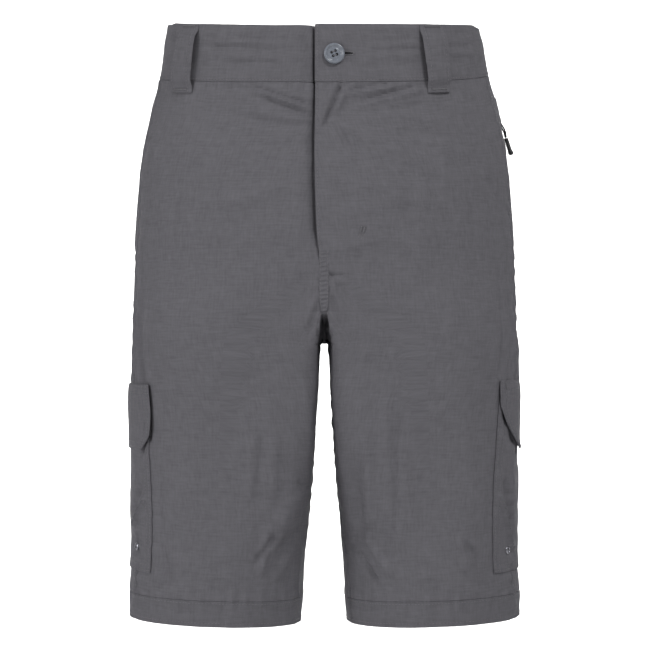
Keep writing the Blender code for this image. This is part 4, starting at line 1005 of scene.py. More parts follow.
def turned(profile, segments):
    """Turn a closed outline of (radius, height) round Z."""
    work = bmesh.new()
    rings = []
    for radius, height in profile:
        if radius == 0.0:
            rings.append([work.verts.new((0, 0, height))] * segments)
            continue
        angles = [2 * math.pi * i / segments for i in range(segments)]
        rings.append([work.verts.new((radius * math.cos(a), radius * math.sin(a), height))
                      for a in angles])
    for ring, after in zip(rings, rings[1:] + rings[:1]):
        for i in range(segments):
            j = (i + 1) % segments
            loop = []
            for vert in (ring[i], ring[j], after[j], after[i]):
                if vert not in loop:
                    loop.append(vert)
            if len(loop) > 2:
                work.faces.new(loop)
    return work


def work_mesh(name, work, place, sharp=40.0):
    """A mesh in metres from a bmesh in millimetres, with its place applied."""
    bmesh.ops.transform(work, matrix=place, verts=work.verts)
    bmesh.ops.scale(work, vec=(MM, MM, MM), verts=work.verts)
    bmesh.ops.recalc_face_normals(work, faces=work.faces)
    return mesh_from(name, work, sharp)


def facing(way, spot):
    """A frame at a spot with Z along the way out and X across."""
    out = Vector(way).normalized()
    across = Vector(DOWN).cross(out).normalized()
    made = Matrix((across, out.cross(across), out)).transposed().to_4x4()
    made.translation = Vector(spot)
    return made


def round_profile(profile, radius, steps=4):
    """A turned outline with its corners rounded."""
    count, made = len(profile), []
    for i, point in enumerate(profile):
        here = np.array(point)
        before, after = np.array(profile[i - 1]), np.array(profile[(i + 1) % count])
        if here[0] < 1e-6:
            made.append(point)
            continue
        reach = min(radius, 0.45 * np.linalg.norm(before - here),
                    0.45 * np.linalg.norm(after - here))
        start = here + unit(before - here) * reach
        end = here + unit(after - here) * reach
        for t in np.linspace(0.0, 1.0, steps):
            spot = (1 - t) ** 2 * start + 2 * t * (1 - t) * here + t * t * end
            made.append((float(spot[0]), float(spot[1])))
    return made


def refined(node, name, width):
    """A copy of a solid with its corners rounded off."""
    work = bmesh.new()
    work.from_mesh(frame["nodes"][node].data)
    bmesh.ops.remove_doubles(work, verts=work.verts, dist=1e-6)
    bmesh.ops.dissolve_limit(work, angle_limit=math.radians(1.0), verts=work.verts,
                             edges=work.edges)
    corners = [e for e in work.edges
               if len(e.link_faces) == 2 and e.calc_face_angle() > math.radians(20.0)]
    bmesh.ops.bevel(work, geom=corners, offset=width * MM, segments=3, profile=0.5,
                    affect="EDGES", clamp_overlap=True)
    return mesh_from(name, work, 40.0)


def plain_mesh(made, name):
    """The evaluated form of an object as a mesh of its own; the object goes."""
    view = bpy.context.evaluated_depsgraph_get()
    view.update()
    mesh = bpy.data.meshes.new_from_object(made.evaluated_get(view))
    mesh.name = name
    bpy.data.objects.remove(made)
    return mesh


# ---------------------------------------------------------------- materials

def add_node(tree, kind, inputs=None, **settings):
    """A node with its settings, and its inputs given as values or linked sockets."""
    made = tree.nodes.new(kind)
    for key, value in settings.items():
        setattr(made, key, value)
    feed(tree, made, inputs or {})
    return made


def feed(tree, node, inputs):
    for key, value in inputs.items():
        if isinstance(value, bpy.types.NodeSocket):
            tree.links.new(value, node.inputs[key])
        else:
            node.inputs[key].default_value = value


def sums(tree, operation, a, b=0.0, c=0.0):
    return add_node(tree, "ShaderNodeMath", {0: a, 1: b, 2: c},
                    operation=operation).outputs[0]


def stretched_noise(tree, vector, stretch, detail=3.0, roughness=0.55):
    placed = add_node(tree, "ShaderNodeMapping", {"Vector": vector, "Scale": stretch})
    return add_node(tree, "ShaderNodeTexNoise",
                    {"Vector": placed.outputs[0], "Scale": 1.0, "Detail": detail,
                     "Roughness": roughness}).outputs["Fac"]


def scaled(tree, vector, factor):
    return add_node(tree, "ShaderNodeVectorMath", {0: vector, "Scale": factor},
                    operation="SCALE").outputs[0]


def crossed_waves(tree, vector, scale, distortion):
    """Two sets of even ribs, one along each way of the cloth."""
    waves = [add_node(tree, "ShaderNodeTexWave",
                      {"Vector": vector, "Scale": scale, "Distortion": distortion},
                      bands_direction=way).outputs["Fac"] for way in ("X", "Y")]
    return sums(tree, "MAXIMUM", *waves)


def new_group(name, kind, inputs, outputs):
    """A node group with its inputs, as (name, kind, value), and its outputs."""
    tree = bpy.data.node_groups.new(name, kind)
    for label, socket_kind, value in inputs:
        socket = tree.interface.new_socket(label, in_out="INPUT",
                                           socket_type="NodeSocket" + socket_kind)
        if value is not None:
            socket.default_value = value
    for label, socket_kind in outputs:
        tree.interface.new_socket(label, in_out="OUTPUT",
                                  socket_type="NodeSocket" + socket_kind)
    return tree, tree.nodes.new("NodeGroupInput"), tree.nodes.new("NodeGroupOutput")


LOOK_OUTPUTS = (("Colour", "Color"), ("Height", "Float"), ("Roughness", "Float"))


@lru_cache
def nylon_group():
    """Crinkled nylon: long crinkles both ways, a heathered shade and a fine weave."""
    tree, given, result = new_group(
        "crinkled_nylon", "ShaderNodeTree",
        (("Vector", "Vector", None), ("Colour", "Color", None), ("Streaks", "Float", 0.1)),
        LOOK_OUTPUTS)
    vector = given.outputs["Vector"]
    warp = stretched_noise(tree, vector, (560.0, 90.0, 1.0))
    weft = stretched_noise(tree, vector, (70.0, 600.0, 1.0))
    warp_fold = stretched_noise(tree, vector, (170.0, 34.0, 1.0), 4.0)
    weft_fold = stretched_noise(tree, vector, (26.0, 180.0, 1.0), 4.0)
    slub = stretched_noise(tree, vector, (95.0, 95.0, 1.0), 5.0, 0.65)
    weave = crossed_waves(tree, vector, 420.0, 0.6)
    yarn = sums(tree, "SUBTRACT", sums(tree, "ADD", warp, weft), 1.0)
    crease = sums(tree, "SUBTRACT", sums(tree, "ADD", warp_fold, weft_fold), 1.0)
    shade = sums(tree, "MULTIPLY_ADD", crease, 0.45, yarn)
    shade = sums(tree, "MULTIPLY_ADD", sums(tree, "SUBTRACT", slub, 0.5), 0.6, shade)
    factor = sums(tree, "MULTIPLY_ADD", shade, given.outputs["Streaks"], 1.0)
    tinted = scaled(tree, given.outputs["Colour"], factor)
    height = sums(tree, "MULTIPLY_ADD", yarn, 0.45, crease)
    height = sums(tree, "MULTIPLY_ADD", weave, 0.10, height)
    height = sums(tree, "MULTIPLY_ADD", slub, 0.35, height)
    rough = sums(tree, "MULTIPLY_ADD", yarn, -0.12, 0.78)
    feed(tree, result, {"Colour": tinted, "Height": height, "Roughness": rough})
    return tree


@lru_cache
def grain_group():
    """Fine grain of moulded or lacquered surfaces, with a little dust."""
    tree, given, result = new_group(
        "moulded_grain", "ShaderNodeTree",
        (("Vector", "Vector", None), ("Colour", "Color", None), ("Roughness", "Float", 0.4),
         ("Size", "Float", 900.0)), LOOK_OUTPUTS)
    fine = add_node(tree, "ShaderNodeTexNoise",
                    {"Vector": given.outputs["Vector"], "Scale": given.outputs["Size"],
                     "Detail": 4.0}).outputs["Fac"]
    broad = stretched_noise(tree, given.outputs["Vector"], (260.0, 260.0, 260.0))
    factor = sums(tree, "MULTIPLY_ADD", sums(tree, "SUBTRACT", broad, 0.5), 0.5, 1.0)
    tinted = scaled(tree, given.outputs["Colour"], factor)
    spread = sums(tree, "MULTIPLY_ADD", sums(tree, "SUBTRACT", fine, 0.5), 0.3,
                  given.outputs["Roughness"])
    feed(tree, result, {"Colour": tinted, "Height": fine, "Roughness": spread})
    return tree


def new_material(name):
    made = bpy.data.materials.new(name)
    made.use_nodes = True
    tree = made.node_tree
    return made, tree, tree.nodes["Principled BSDF"]


def add_bump(tree, height, distance):
    return add_node(tree, "ShaderNodeBump",
                    {"Height": height, "Distance": distance}).outputs[0]


def wire_look(tree, shader, group, given, depth):
    """Take a material's colour, roughness and bump from one of the groups above."""
    look = add_node(tree, "ShaderNodeGroup", given, node_tree=group)
    feed(tree, shader, {"Base Color": look.outputs["Colour"],
                        "Roughness": look.outputs["Roughness"],
                        "Normal": add_bump(tree, look.outputs["Height"], depth)})


def cloth_material(name, colour, crinkle, streaks):
    made, tree, shader = new_material(name)
    uv = add_node(tree, "ShaderNodeUVMap", uv_map="UVMap")
    wire_look(tree, shader, nylon_group(),
              {"Vector": uv.outputs[0], "Colour": (*colour, 1.0), "Streaks": streaks},
              crinkle)
    feed(tree, shader, {"Specular IOR Level": 0.12})
    return made


def grain_material(name, colour, roughness, metallic=0.0, coat=0.0):
    made, tree, shader = new_material(name)
    place = add_node(tree, "ShaderNodeTexCoord").outputs["Object"]
    wire_look(tree, shader, grain_group(),
              {"Vector": place, "Colour": (*colour, 1.0), "Roughness": roughness}, 0.00002)
    feed(tree, shader, {"Metallic": metallic, "Coat Weight": coat, "Coat Roughness": 0.12})
    return made


def woven_material(name, colour, pitch, depth):
    """A ribbed weave at 45 degrees to U and V, for tape and braid."""
    made, tree, shader = new_material(name)
    uv = add_node(tree, "ShaderNodeUVMap", uv_map="UVMap")
    turn = add_node(tree, "ShaderNodeMapping",
                    {"Vector": uv.outputs[0], "Rotation": (0.0, 0.0, math.radians(45.0))})
    rib = crossed_waves(tree, turn.outputs[0], 0.314 / pitch, 0.3)
    shade = sums(tree, "MULTIPLY_ADD", rib, 0.5, 0.7)
    feed(tree, shader, {"Base Color": scaled(tree, colour, shade),
                        "Normal": add_bump(tree, rib, depth), "Roughness": 0.8,
                        "Specular IOR Level": 0.3})
    return made


@lru_cache
def finish_of(key):
    """The material of each finish, made when first asked for."""
    scene = bpy.context.scene
    cloth, hard = scene.trousers_cloth, scene.trousers_hardware
    base, metal = tuple(cloth.colour), tuple(hard.metal_colour)
    make, *values = {
        "cloth": (cloth_material, "nylon_cloth", base, cloth.crinkle, cloth.streaks),
        "band_cloth": (cloth_material, "nylon_band", tuple(0.97 * c for c in base),
                       cloth.crinkle, cloth.streaks),
        # Painted shade: the buttonhole's slit is the nylon at 0.12 of its colour, standing for
        # the shadow inside the slit.
        "shadow_cloth": (cloth_material, "buttonhole_inside",
                         tuple(0.12 * c for c in base), cloth.crinkle, 0.1),
        "thread": (grain_material, "sewing_thread", tuple(scene.trousers_stitch.colour), 0.6),
        "zip_tape": (woven_material, "zip_tape", (0.03, 0.03, 0.034), 0.0007, 0.00015),
        "zip_coil": (grain_material, "zip_coil", (0.035, 0.035, 0.04), 0.42),
        "zip_metal": (grain_material, "zip_metal", metal, 0.34, 0.9),
        "eyelet_metal": (grain_material, "eyelet_metal", tuple(5.0 * c for c in metal),
                         0.26, 1.0),
        "button_plastic": (grain_material, "button_plastic", tuple(hard.button_colour),
                           0.3, 0.0, 0.5),
        "pull_cord": (woven_material, "pull_cord", (0.014, 0.014, 0.017), 0.0006, 0.0002),
        "grip_plastic": (grain_material, "grip_plastic", (0.016, 0.016, 0.018), 0.46),
    }[key]
    return make(*values)


# ---------------------------------------------------------------- repeated pieces

@lru_cache
def row_tree():
    """Beads laid along lines: stitches of thread, or the turns of a zip's coil."""
    tree, given, result = new_group(
        "bead_row", "GeometryNodeTree",
        (("Lines", "Geometry", None), ("Pitch", "Float", 0.003),
         ("Size", "Vector", (0.0025, 0.0006, 0.0006)), ("Unevenness", "Float", 0.08),
         ("Seed", "Int", 7), ("Material", "Material", None)), (("Beads", "Geometry"),))
    curve = add_node(tree, "GeometryNodeMeshToCurve", {"Mesh": given.outputs["Lines"]})
    rows = add_node(tree, "GeometryNodeResampleCurve",
                    {"Curve": curve.outputs[0], "Length": given.outputs["Pitch"]},
                    mode="LENGTH")
    out, lie = (add_node(tree, "GeometryNodeInputNamedAttribute", {"Name": label},
                         data_type="FLOAT_VECTOR").outputs["Attribute"]
                for label in ("out", "lie"))
    stood = add_node(tree, "FunctionNodeAlignRotationToVector", {"Vector": out}, axis="Z")
    laid = add_node(tree, "FunctionNodeAlignRotationToVector",
                    {"Rotation": stood.outputs[0], "Vector": lie}, axis="X",
                    pivot_axis="Z")
    bead = add_node(tree, "GeometryNodeMeshUVSphere",
                    {"Segments": 6, "Rings": 4, "Radius": 0.5})
    low = sums(tree, "SUBTRACT", 1.0, given.outputs["Unevenness"])
    high = sums(tree, "ADD", 1.0, given.outputs["Unevenness"])
    vary = add_node(tree, "FunctionNodeRandomValue",
                    {2: low, 3: high, "Seed": given.outputs["Seed"]},
                    data_type="FLOAT")
    size = scaled(tree, given.outputs["Size"], vary.outputs[1])
    placed = add_node(tree, "GeometryNodeInstanceOnPoints",
                      {"Points": rows.outputs[0], "Instance": bead.outputs["Mesh"],
                       "Rotation": laid.outputs[0], "Scale": size})
    real = add_node(tree, "GeometryNodeRealizeInstances", {"Geometry": placed.outputs[0]})
    soft = add_node(tree, "GeometryNodeSetShadeSmooth", {"Geometry": real.outputs[0]})
    painted = add_node(tree, "GeometryNodeSetMaterial",
                       {"Geometry": soft.outputs[0], "Material": given.outputs["Material"]})
    feed(tree, result, {"Beads": painted.outputs[0]})
    return tree


def lay_beads(name, lines, pitch, size, finish, unevenness=0.08):
    """One piece of beads along every line, each (points, ways out, ways they lie)."""
    spots, outs, lies, edges = [], [], [], []
    for points, ways, lying in lines:
        first = len(spots)
        spots += (np.asarray(points) * MM).tolist()
        outs += np.asarray(ways).tolist()
        lies += np.asarray(lying).tolist()
        edges += [(i, i + 1) for i in range(first, len(spots) - 1)]
    if not edges:
        raise RuntimeError(f"{name} has no line to follow")
    mesh = bpy.data.meshes.new(name + "_lines")
    mesh.from_pydata(spots, edges, [])
    for label, values in (("out", outs), ("lie", lies)):
        layer = mesh.attributes.new(label, "FLOAT_VECTOR", "POINT")
        layer.data.foreach_set("vector", np.ravel(values))
    guide = placed(name + "_lines", mesh)
    tree = row_tree()
    beads = guide.modifiers.new("beads", "NODES")
    beads.node_group = tree
    values = {"Pitch": pitch, "Size": size, "Unevenness": unevenness,
              "Material": finish_of(finish)}
    for item in tree.interface.items_tree:
        if item.in_out == "INPUT" and item.name in values:
            beads[item.identifier] = values[item.name]
    done = plain_mesh(guide, name)
    for label in [a.name for a in done.attributes if a.name in ("out", "lie")]:
        done.attributes.remove(done.attributes[label])
    return add_piece(name, done, finish)


def along(points):
    """The way that a line runs at each of its points."""
    return unit(np.gradient(np.asarray(points, float), axis=0))


def seam_line(skin, rows, cols, lift=0.12):
    """A stitch line over a skin, through fractional rows and columns of its grid."""
    points, normals = SKINS[skin]
    rows, cols = np.broadcast_arrays(np.asarray(rows, float), np.asarray(cols, float))
    r = np.clip(np.floor(rows).astype(int), 0, points.shape[0] - 2)
    c = np.clip(np.floor(cols).astype(int), 0, points.shape[1] - 2)
    u, v = (rows - r)[:, None], (cols - c)[:, None]

    def blend(grid):
        return ((1 - u) * ((1 - v) * grid[r, c] + v * grid[r, c + 1])
                + u * ((1 - v) * grid[r + 1, c] + v * grid[r + 1, c + 1]))
    ways = unit(blend(normals))
    line = blend(points) + ways * lift
    return line, ways, along(line)


def inset(skin, axis, distance, start=0):
    """The fractional row or column a distance in from the first one, or back from -1."""
    along_axis = 0 if axis == "rows" else 1
    steps = np.median(step_lengths(SKINS[skin][0], along_axis), axis=1 - along_axis)
    run = run_along(steps[::-1] if start < 0 else steps[start:])
    count = float(np.interp(distance, run, np.arange(len(run))))
    return len(steps) - count if start < 0 else start + count


def bartack(skin, row, col, step, length):
    """Short bars of thread packed side by side, along a step of rows or columns."""
    points, normals = SKINS[skin]
    back = points[row - step[0], col - step[1]]
    return bars_along(points[row, col], normals[row, col],
                      points[row + step[0], col + step[1]] - back, length)


def bars_along(centre, out, way, length):
    way, out = unit(np.asarray(way, float)), unit(np.asarray(out, float))
    bars = int(length / TACK_BAR)
    stops = np.linspace(-0.5, 0.5, bars)
    points = np.asarray(centre) + np.outer(stops * length, way) + out * 0.25
    return points, np.tile(out, (bars, 1)), np.tile(np.cross(out, way), (bars, 1))


# ---------------------------------------------------------------- stage

def studio_camera():
    """The photograph's view: level, from straight in front, at half the garment's height."""
    lens = bpy.data.cameras.new("camera")
    lens.sensor_width = lens.sensor_height = SENSOR
    lens.lens = SENSOR * CAMERA_DISTANCE / (PHOTO_PIXELS * PIXEL)
    lens.dof.use_dof = False
    made = placed("camera", lens)
    middle = PHOTO_PIXELS / 2
    made.location = ((middle - CENTRE_COLUMN) * PIXEL * MM, -CAMERA_DISTANCE * MM,
                     (WAIST_LINE - middle) * PIXEL * MM)
    made.rotation_euler = (math.radians(90.0), 0.0, 0.0)
    bpy.context.scene.camera = made


def studio_light(name, place, target, size, power):
    lamp = bpy.data.lights.new(name, "AREA")
    lamp.shape, lamp.size, lamp.size_y = "RECTANGLE", size[0], size[1]
    lamp.energy = power
    made = placed(name, lamp)
    made.location = place
    made.rotation_euler = (Vector(target) - Vector(place)).to_track_quat(
        "-Z", "Y").to_euler()


def backdrop(drop):
    """A pale floor that sweeps up into a pale wall behind the garment."""
    flat_end, steps = BACKDROP_BACK - BACKDROP_BEND, 16
    profile = [(BACKDROP_FRONT, -drop), (flat_end, -drop)]
    for i in range(1, steps + 1):
        a = math.pi / 2 * i / steps
        profile.append((flat_end + BACKDROP_BEND * math.sin(a),
                        -drop + BACKDROP_BEND * (1 - math.cos(a))))
    profile.append((BACKDROP_BACK, BACKDROP_HEIGHT))
    work = bmesh.new()
    rows = [[work.verts.new((x, y, z)) for x in (-BACKDROP_WIDTH / 2, 0.0,
                                                 BACKDROP_WIDTH / 2)] for y, z in profile]
    for row, after in zip(rows, rows[1:]):
        for i in range(2):
            work.faces.new((row[i], row[i + 1], after[i + 1], after[i]))
    made = placed("backdrop", mesh_from("backdrop", work))
    paper, tree, shader = new_material("backdrop_paper")
    place = add_node(tree, "ShaderNodeTexCoord")
    mottle = stretched_noise(tree, place.outputs["Object"], (3.0, 3.0, 3.0))
    shade = sums(tree, "MULTIPLY_ADD", mottle, 0.02, 0.89)
    grey = add_node(tree, "ShaderNodeCombineColor",
                    {"Red": shade, "Green": shade, "Blue": shade})
    feed(tree, shader, {"Base Color": grey.outputs[0], "Roughness": 0.9,
                        "Specular IOR Level": 0.1})
    made.data.materials.append(paper)


class TROUSERS_OT_stage(bpy.types.Operator):
    """Set up the camera, the soft lights and the pale backdrop"""
    bl_idname = "trousers.stage"
    bl_label = "Stage"

    def execute(self, context):
        stage = context.scene.trousers_stage
        studio_camera()
        backdrop(stage.floor_drop)
        for *light, power in LIGHTS:
            studio_light(*light, getattr(stage, power))
        room = bpy.data.worlds.new("white_room")
        room.use_nodes = True
        light = room.node_tree.nodes["Background"]
        light.inputs["Color"].default_value = (1.0, 1.0, 1.0, 1.0)
        light.inputs["Strength"].default_value = stage.room_light
        context.scene.world = room
        context.scene.view_settings.view_transform = "Standard"
        return {"FINISHED"}


# ---------------------------------------------------------------- hip pull

def pull_axes():
    """The crown's hole, and the directions out, across and down, from the hinge."""
    hinge = frame["record"]["behaviour"]["joints"][0]
    hole = np.array(hinge["pos_m"]) / MM
    across = unit(np.array(hinge["axis"], float))
    out = unit(np.array(PULL_OUT))
    return hole, np.array([out, across, np.cross(out, across)])


def cord_path():
    """The loop of cord, as out, across, down from the middle of the crown's hole."""
    turn = [(0.0, CORD_TURN_R * math.sin(a), CORD_TURN_R * (1 - math.cos(a)))
            for a in np.linspace(0.0, math.pi / 2, 7)]
    strand = np.array(turn[1:] + list(CORD_STRAND))
    last = len(turn) - 2
    down = np.linspace(strand[last, 2], strand[-1, 2], 9)[1:]
    knots = strand[last:]
    lower = np.stack([smooth_curve(down, knots[:, 2], knots[:, k]) for k in range(2)]
                     + [down], axis=1)
    one_side = np.concatenate([strand[:last + 1], lower])
    other = one_side[::-1] * (1.0, -1.0, 1.0)
    return np.concatenate([other, [turn[0]], one_side])


def tube(name, route, radius, sides=12):
    """A round tube along a route, with flat ends and the length along V."""
    ways = along(route)
    side = unit(np.cross(ways[0], (0.0, 0.0, 1.0)))
    rings, uv = [], []
    angles = np.linspace(0.0, 2 * math.pi, sides, endpoint=False)
    for spot, way, distance in zip(route, ways, run_along(step_lengths(route))):
        side = unit(side - way * np.dot(side, way))
        up = np.cross(way, side)
        rings.append(spot + radius * (np.outer(np.cos(angles), side)
                                      + np.outer(np.sin(angles), up)))
        uv.append(np.stack([angles * radius, np.full(sides, distance)], -1))
    return stacked_rings(name, np.array(rings), np.array(uv), 60.0)


def pull_grip(hole, axes):
    """The moulded grip: a soft oval bar with cross ribs and a flared foot."""
    down = np.linspace(GRIP[0][0], GRIP[-1][0], GRIP_RINGS)
    out, thick, wide = (looked_up(down, GRIP, GRIP_COLUMNS, key)
                        for key in ("out", "thickness", "width"))
    share = (down - down[0]) / (down[-1] - down[0])
    ribs = 0.14 * np.sin(2 * math.pi * down / 1.7) * ease((share - 0.2) / 0.1) * ease(
        (0.78 - share) / 0.1)
    tip = np.sqrt(np.clip(1 - (np.clip((share - 0.93) / 0.07, 0, 1)) ** 2, 0.35, 1.0))
    angles = np.linspace(0.0, 2 * math.pi, GRIP_SIDES, endpoint=False)
    c, s = np.cos(angles), np.sin(angles)
    rings = []
    for i, d in enumerate(down):
        o = out[i] + (thick[i] / 2 + ribs[i]) * tip[i] * np.copysign(abs(c) ** 0.7, c)
        a = (wide[i] / 2 + ribs[i]) * tip[i] * np.copysign(abs(s) ** 0.7, s)
        rings.append(hole + np.stack([o, a, np.full(GRIP_SIDES, d)], -1) @ axes)
    rings = np.array(rings)
    return stacked_rings("pull_grip", rings, rings[..., :2], 50.0)


class TROUSERS_OT_hip_pull(bpy.types.Operator):
    """Thread the cord loop through the hip zip's crown and mould the grip on it"""
    bl_idname = "trousers.hip_pull"
    bl_label = "Hip pull"

    def execute(self, context):
        hole, axes = pull_axes()
        route = hole + cord_path() @ axes
        grip = add_piece("pull_grip", pull_grip(hole, axes), "grip_plastic",
                         ["hip_pull_grip"], PULL)
        cord = add_piece("pull_cord", tube("pull_cord", route, CORD_D / 2), "pull_cord",
                         ["hip_pull_cord"], PULL)
        return {"FINISHED"}


# ---------------------------------------------------------------- cloth pieces

def grid_uv(half, rows, cols):
    return np.stack([half.round[rows, cols], half.level[rows, cols]], -1)


def panel_pieces(half):
    """The front and the back of one half."""
    rows = slice(half.seam_row, half.hem_row + 1)
    hook = half.hook_row - half.seam_row
    for face, cols, inner_end, side_end in (
            ("front", slice(0, half.side_col + 1), "first", "last"),
            ("back", slice(half.side_col, None), "last", "first")):
        points, normals = half.points[rows, cols], half.normals[rows, cols]
        skins = []
        for skin in (points, points - normals * CLOTH):
            skin = pull_in(skin, "cols", side_end, tuck(CLOTH))
            inseam = pull_in(skin, "cols", inner_end, tuck(CLOTH))
            skin[hook:] = inseam[hook:]
            skin = pull_in(skin, "rows", "first", tuck(CLOTH))
            skins.append(pull_in(skin, "rows", "last", tuck(CLOTH)))
        keep = half.keep[half.seam_row:half.hem_row]
        keep = keep[:, :half.side_col] if face == "front" else keep[:, half.side_col:]
        sewn(f"{face}_panel_{half.side}", skins, normals, grid_uv(half, rows, cols), "cloth",
             f"{face}_{half.side}", keep)


class TROUSERS_OT_panels(bpy.types.Operator):
    """Cut the two fronts and the two backs, with their folds and puckers"""
    bl_idname = "trousers.panels"
    bl_label = "Fronts and backs"

    def execute(self, context):
        for side in SIDES:
            panel_pieces(half_of(side))
        return {"FINISHED"}


def front_depth_at(x, z):
    _, width, depth, power = oval(z, "front")
    return -depth * (1 - abs(x / width) ** power) ** (1 / power)


def band_piece(half):
    """The waistband of one half; the wearer's right runs on beneath the lap."""
    rows = slice(0, half.seam_row + 1)
    points, normals = half.points[rows, half.main], half.normals[rows, half.main]
    uv = grid_uv(half, rows, half.main)
    if half.side == "right":
        x, z = np.meshgrid(UNDERLAP_X, half.levels[rows])
        y = front_depth_at(x, z)
        lap = np.stack([x, y + LAP_DIP["band"], z + level_tilt("left", abs(x), y, z)], -1)
        points = np.concatenate([lap, points], axis=1)
        ahead = np.broadcast_to([0.0, -1.0, 0.0], lap.shape)
        normals = np.concatenate([ahead, normals], axis=1)
        reach = uv[:, :1, 0] - np.abs(x - lap[:, -1:, 0]) - 4.0
        uv = np.concatenate([np.stack([reach, z], -1), uv], axis=1)
    else:
        points = points + normals * 0.25
    skins = [pull_in(skin, "rows", "last", tuck(BAND_CLOTH) - 0.4)
             for skin in (points, points - normals * BAND_CLOTH)]
    sewn("waistband_cloth_" + half.side, skins, normals, uv, "band_cloth",
         "waistband_" + half.side)


def buttonhole():
    """The buttonhole behind the button: a slit shown as a thin sheet painted near black for the
    shade inside it, in a ring of close bars.
    """
    stops = np.linspace(BUTTON_X - 1.0, BUTTONHOLE_END_X, BUTTONHOLE_COLS)
    points, normals = (skin[:, :BUTTONHOLE_COLS] for skin in SKINS["waistband_cloth_left"])
    row = int(np.argmin(abs(points[:, 6, 2] - BUTTON_Z)))
    line, out = (np.stack([np.interp(stops, points[row, :, 0], skin[row, :, k])
                           for k in range(3)], -1) for skin in (points, normals))
    line[:, 2] = BUTTON_Z + 0.3
    share = (stops - stops[0]) / (stops[-1] - stops[0])
    half_open = 0.15 + 1.15 * np.sqrt(np.clip(1 - share, 0.0, 1.0))
    up = np.array([0.0, 0.0, 1.0])
    outer = np.array([line + out * 0.22 + up * half_open[:, None] * k
                      for k in (1.0, 0.5, 0.0, -0.5, -1.0)])
    uv = np.stack(np.meshgrid(stops, np.linspace(1.0, -1.0, 5)), -1)
    # Painted shade: a thin near-black sheet over the band stands for the shadow inside the slit.
    mesh = wall("buttonhole_slit", outer, outer - out * 0.18, uv)
    add_piece("buttonhole_slit", mesh, "shadow_cloth")
    bars = line + out * 0.3
    lines = [(bars + up * (side * (half_open + BUTTONHOLE_BAR))[:, None], out,
              np.tile(up, (BUTTONHOLE_COLS, 1))) for side in (1.0, -1.0)]
    turn = np.linspace(math.pi / 2, -math.pi / 2, 9)
    rim = half_open[-1] + BUTTONHOLE_BAR
    end = bars[-1] + np.stack([rim * np.cos(turn), 0 * turn, rim * np.sin(turn)], -1)
    lies = np.stack([np.cos(turn), 0 * turn, np.sin(turn)], -1)
    lines.append((end, np.tile(out[-1], (9, 1)), lies))
    lay_beads("buttonhole_stitches", lines, BAR_PITCH, BAR_BEAD, "thread", 0.12)


class TROUSERS_OT_waistband(bpy.types.Operator):
    """Make the two halves of the waistband and the buttonhole"""
    bl_idname = "trousers.waistband"
    bl_label = "Waistband"

    def execute(self, context):
        for side in SIDES:
            band_piece(half_of(side))
        buttonhole()
        return {"FINISHED"}


def loop_piece(name, face, top_x, bottom_x, top_width, bottom_width, crease):
    """A loop sewn at the band's top and just below its seam, standing off between."""
    half = half_of("right" if top_x < 0 else "left")
    across = np.linspace(-0.5, 0.5, LOOP_COLS)
    down = np.linspace(0.0, 1.0, LOOP_ROWS)
    knots = np.array(LOOP_PROFILE)
    stand = LAP_GAP + LOOP_STANDOFF * np.interp(down, knots[:, 0], knots[:, 1])
    soft = np.convolve(np.pad(stand, 2, mode="edge"), np.ones(5) / 5, mode="valid")
    top, bottom = WAIST_TOP_Z - 0.5, WAIST_SEAM_Z - LOOP_BELOW_SEAM
    base, ways = [], []
    for t in down:
        z = top + (bottom - top) * t
        width = top_width + (bottom_width - top_width) * t
        if top_x == 0.0:
            x = across * width
            mirror = np.where(x > 0, 1.0, -1.0)
            s = np.array([half.round_at_x(face, abs(v), z) for v in x])
        else:
            turn = -1.0 if face == "front" else 1.0
            middle = half.round_at_x(face, top_x + (bottom_x - top_x) * t, z)
            s = middle - turn * half.sign * across * width
            mirror = np.ones_like(across)
        spots, outs = half.lay(s, z)
        flip = np.stack([mirror, np.ones_like(mirror), np.ones_like(mirror)], -1)
        base.append(spots * flip)
        ways.append(outs * flip)
    base, ways = np.array(base), np.array(ways)
    u, v = np.meshgrid(across, down)
    relief = -0.55 * np.exp(-((v - crease - 0.03 * u) / 0.018) ** 2)
    relief += 0.35 * np.exp(-((v - crease - 0.05 - 0.03 * u) / 0.03) ** 2)
    relief += 0.16 * np.sin(9.0 * v + 5.0 * crease + 2.0 * u) - 0.35 * (2 * u) ** 6
    skins = shelled(base, ways, LOOP_CLOTH, soft[:, None] + relief)
    uv = np.stack([u * top_width + 40.0, -v * (top - bottom) + top_x], -1)
    sewn("belt_loop_cloth_" + name, skins, ways, uv, "band_cloth", "belt_loop_" + name)


class TROUSERS_OT_belt_loops(bpy.types.Operator):
    """Make the five belt loops"""
    bl_idname = "trousers.belt_loops"
    bl_label = "Belt loops"

    def execute(self, context):
        for row in LOOPS:
            loop_piece(**dict(zip(LOOP_COLUMNS, row)))
        return {"FINISHED"}


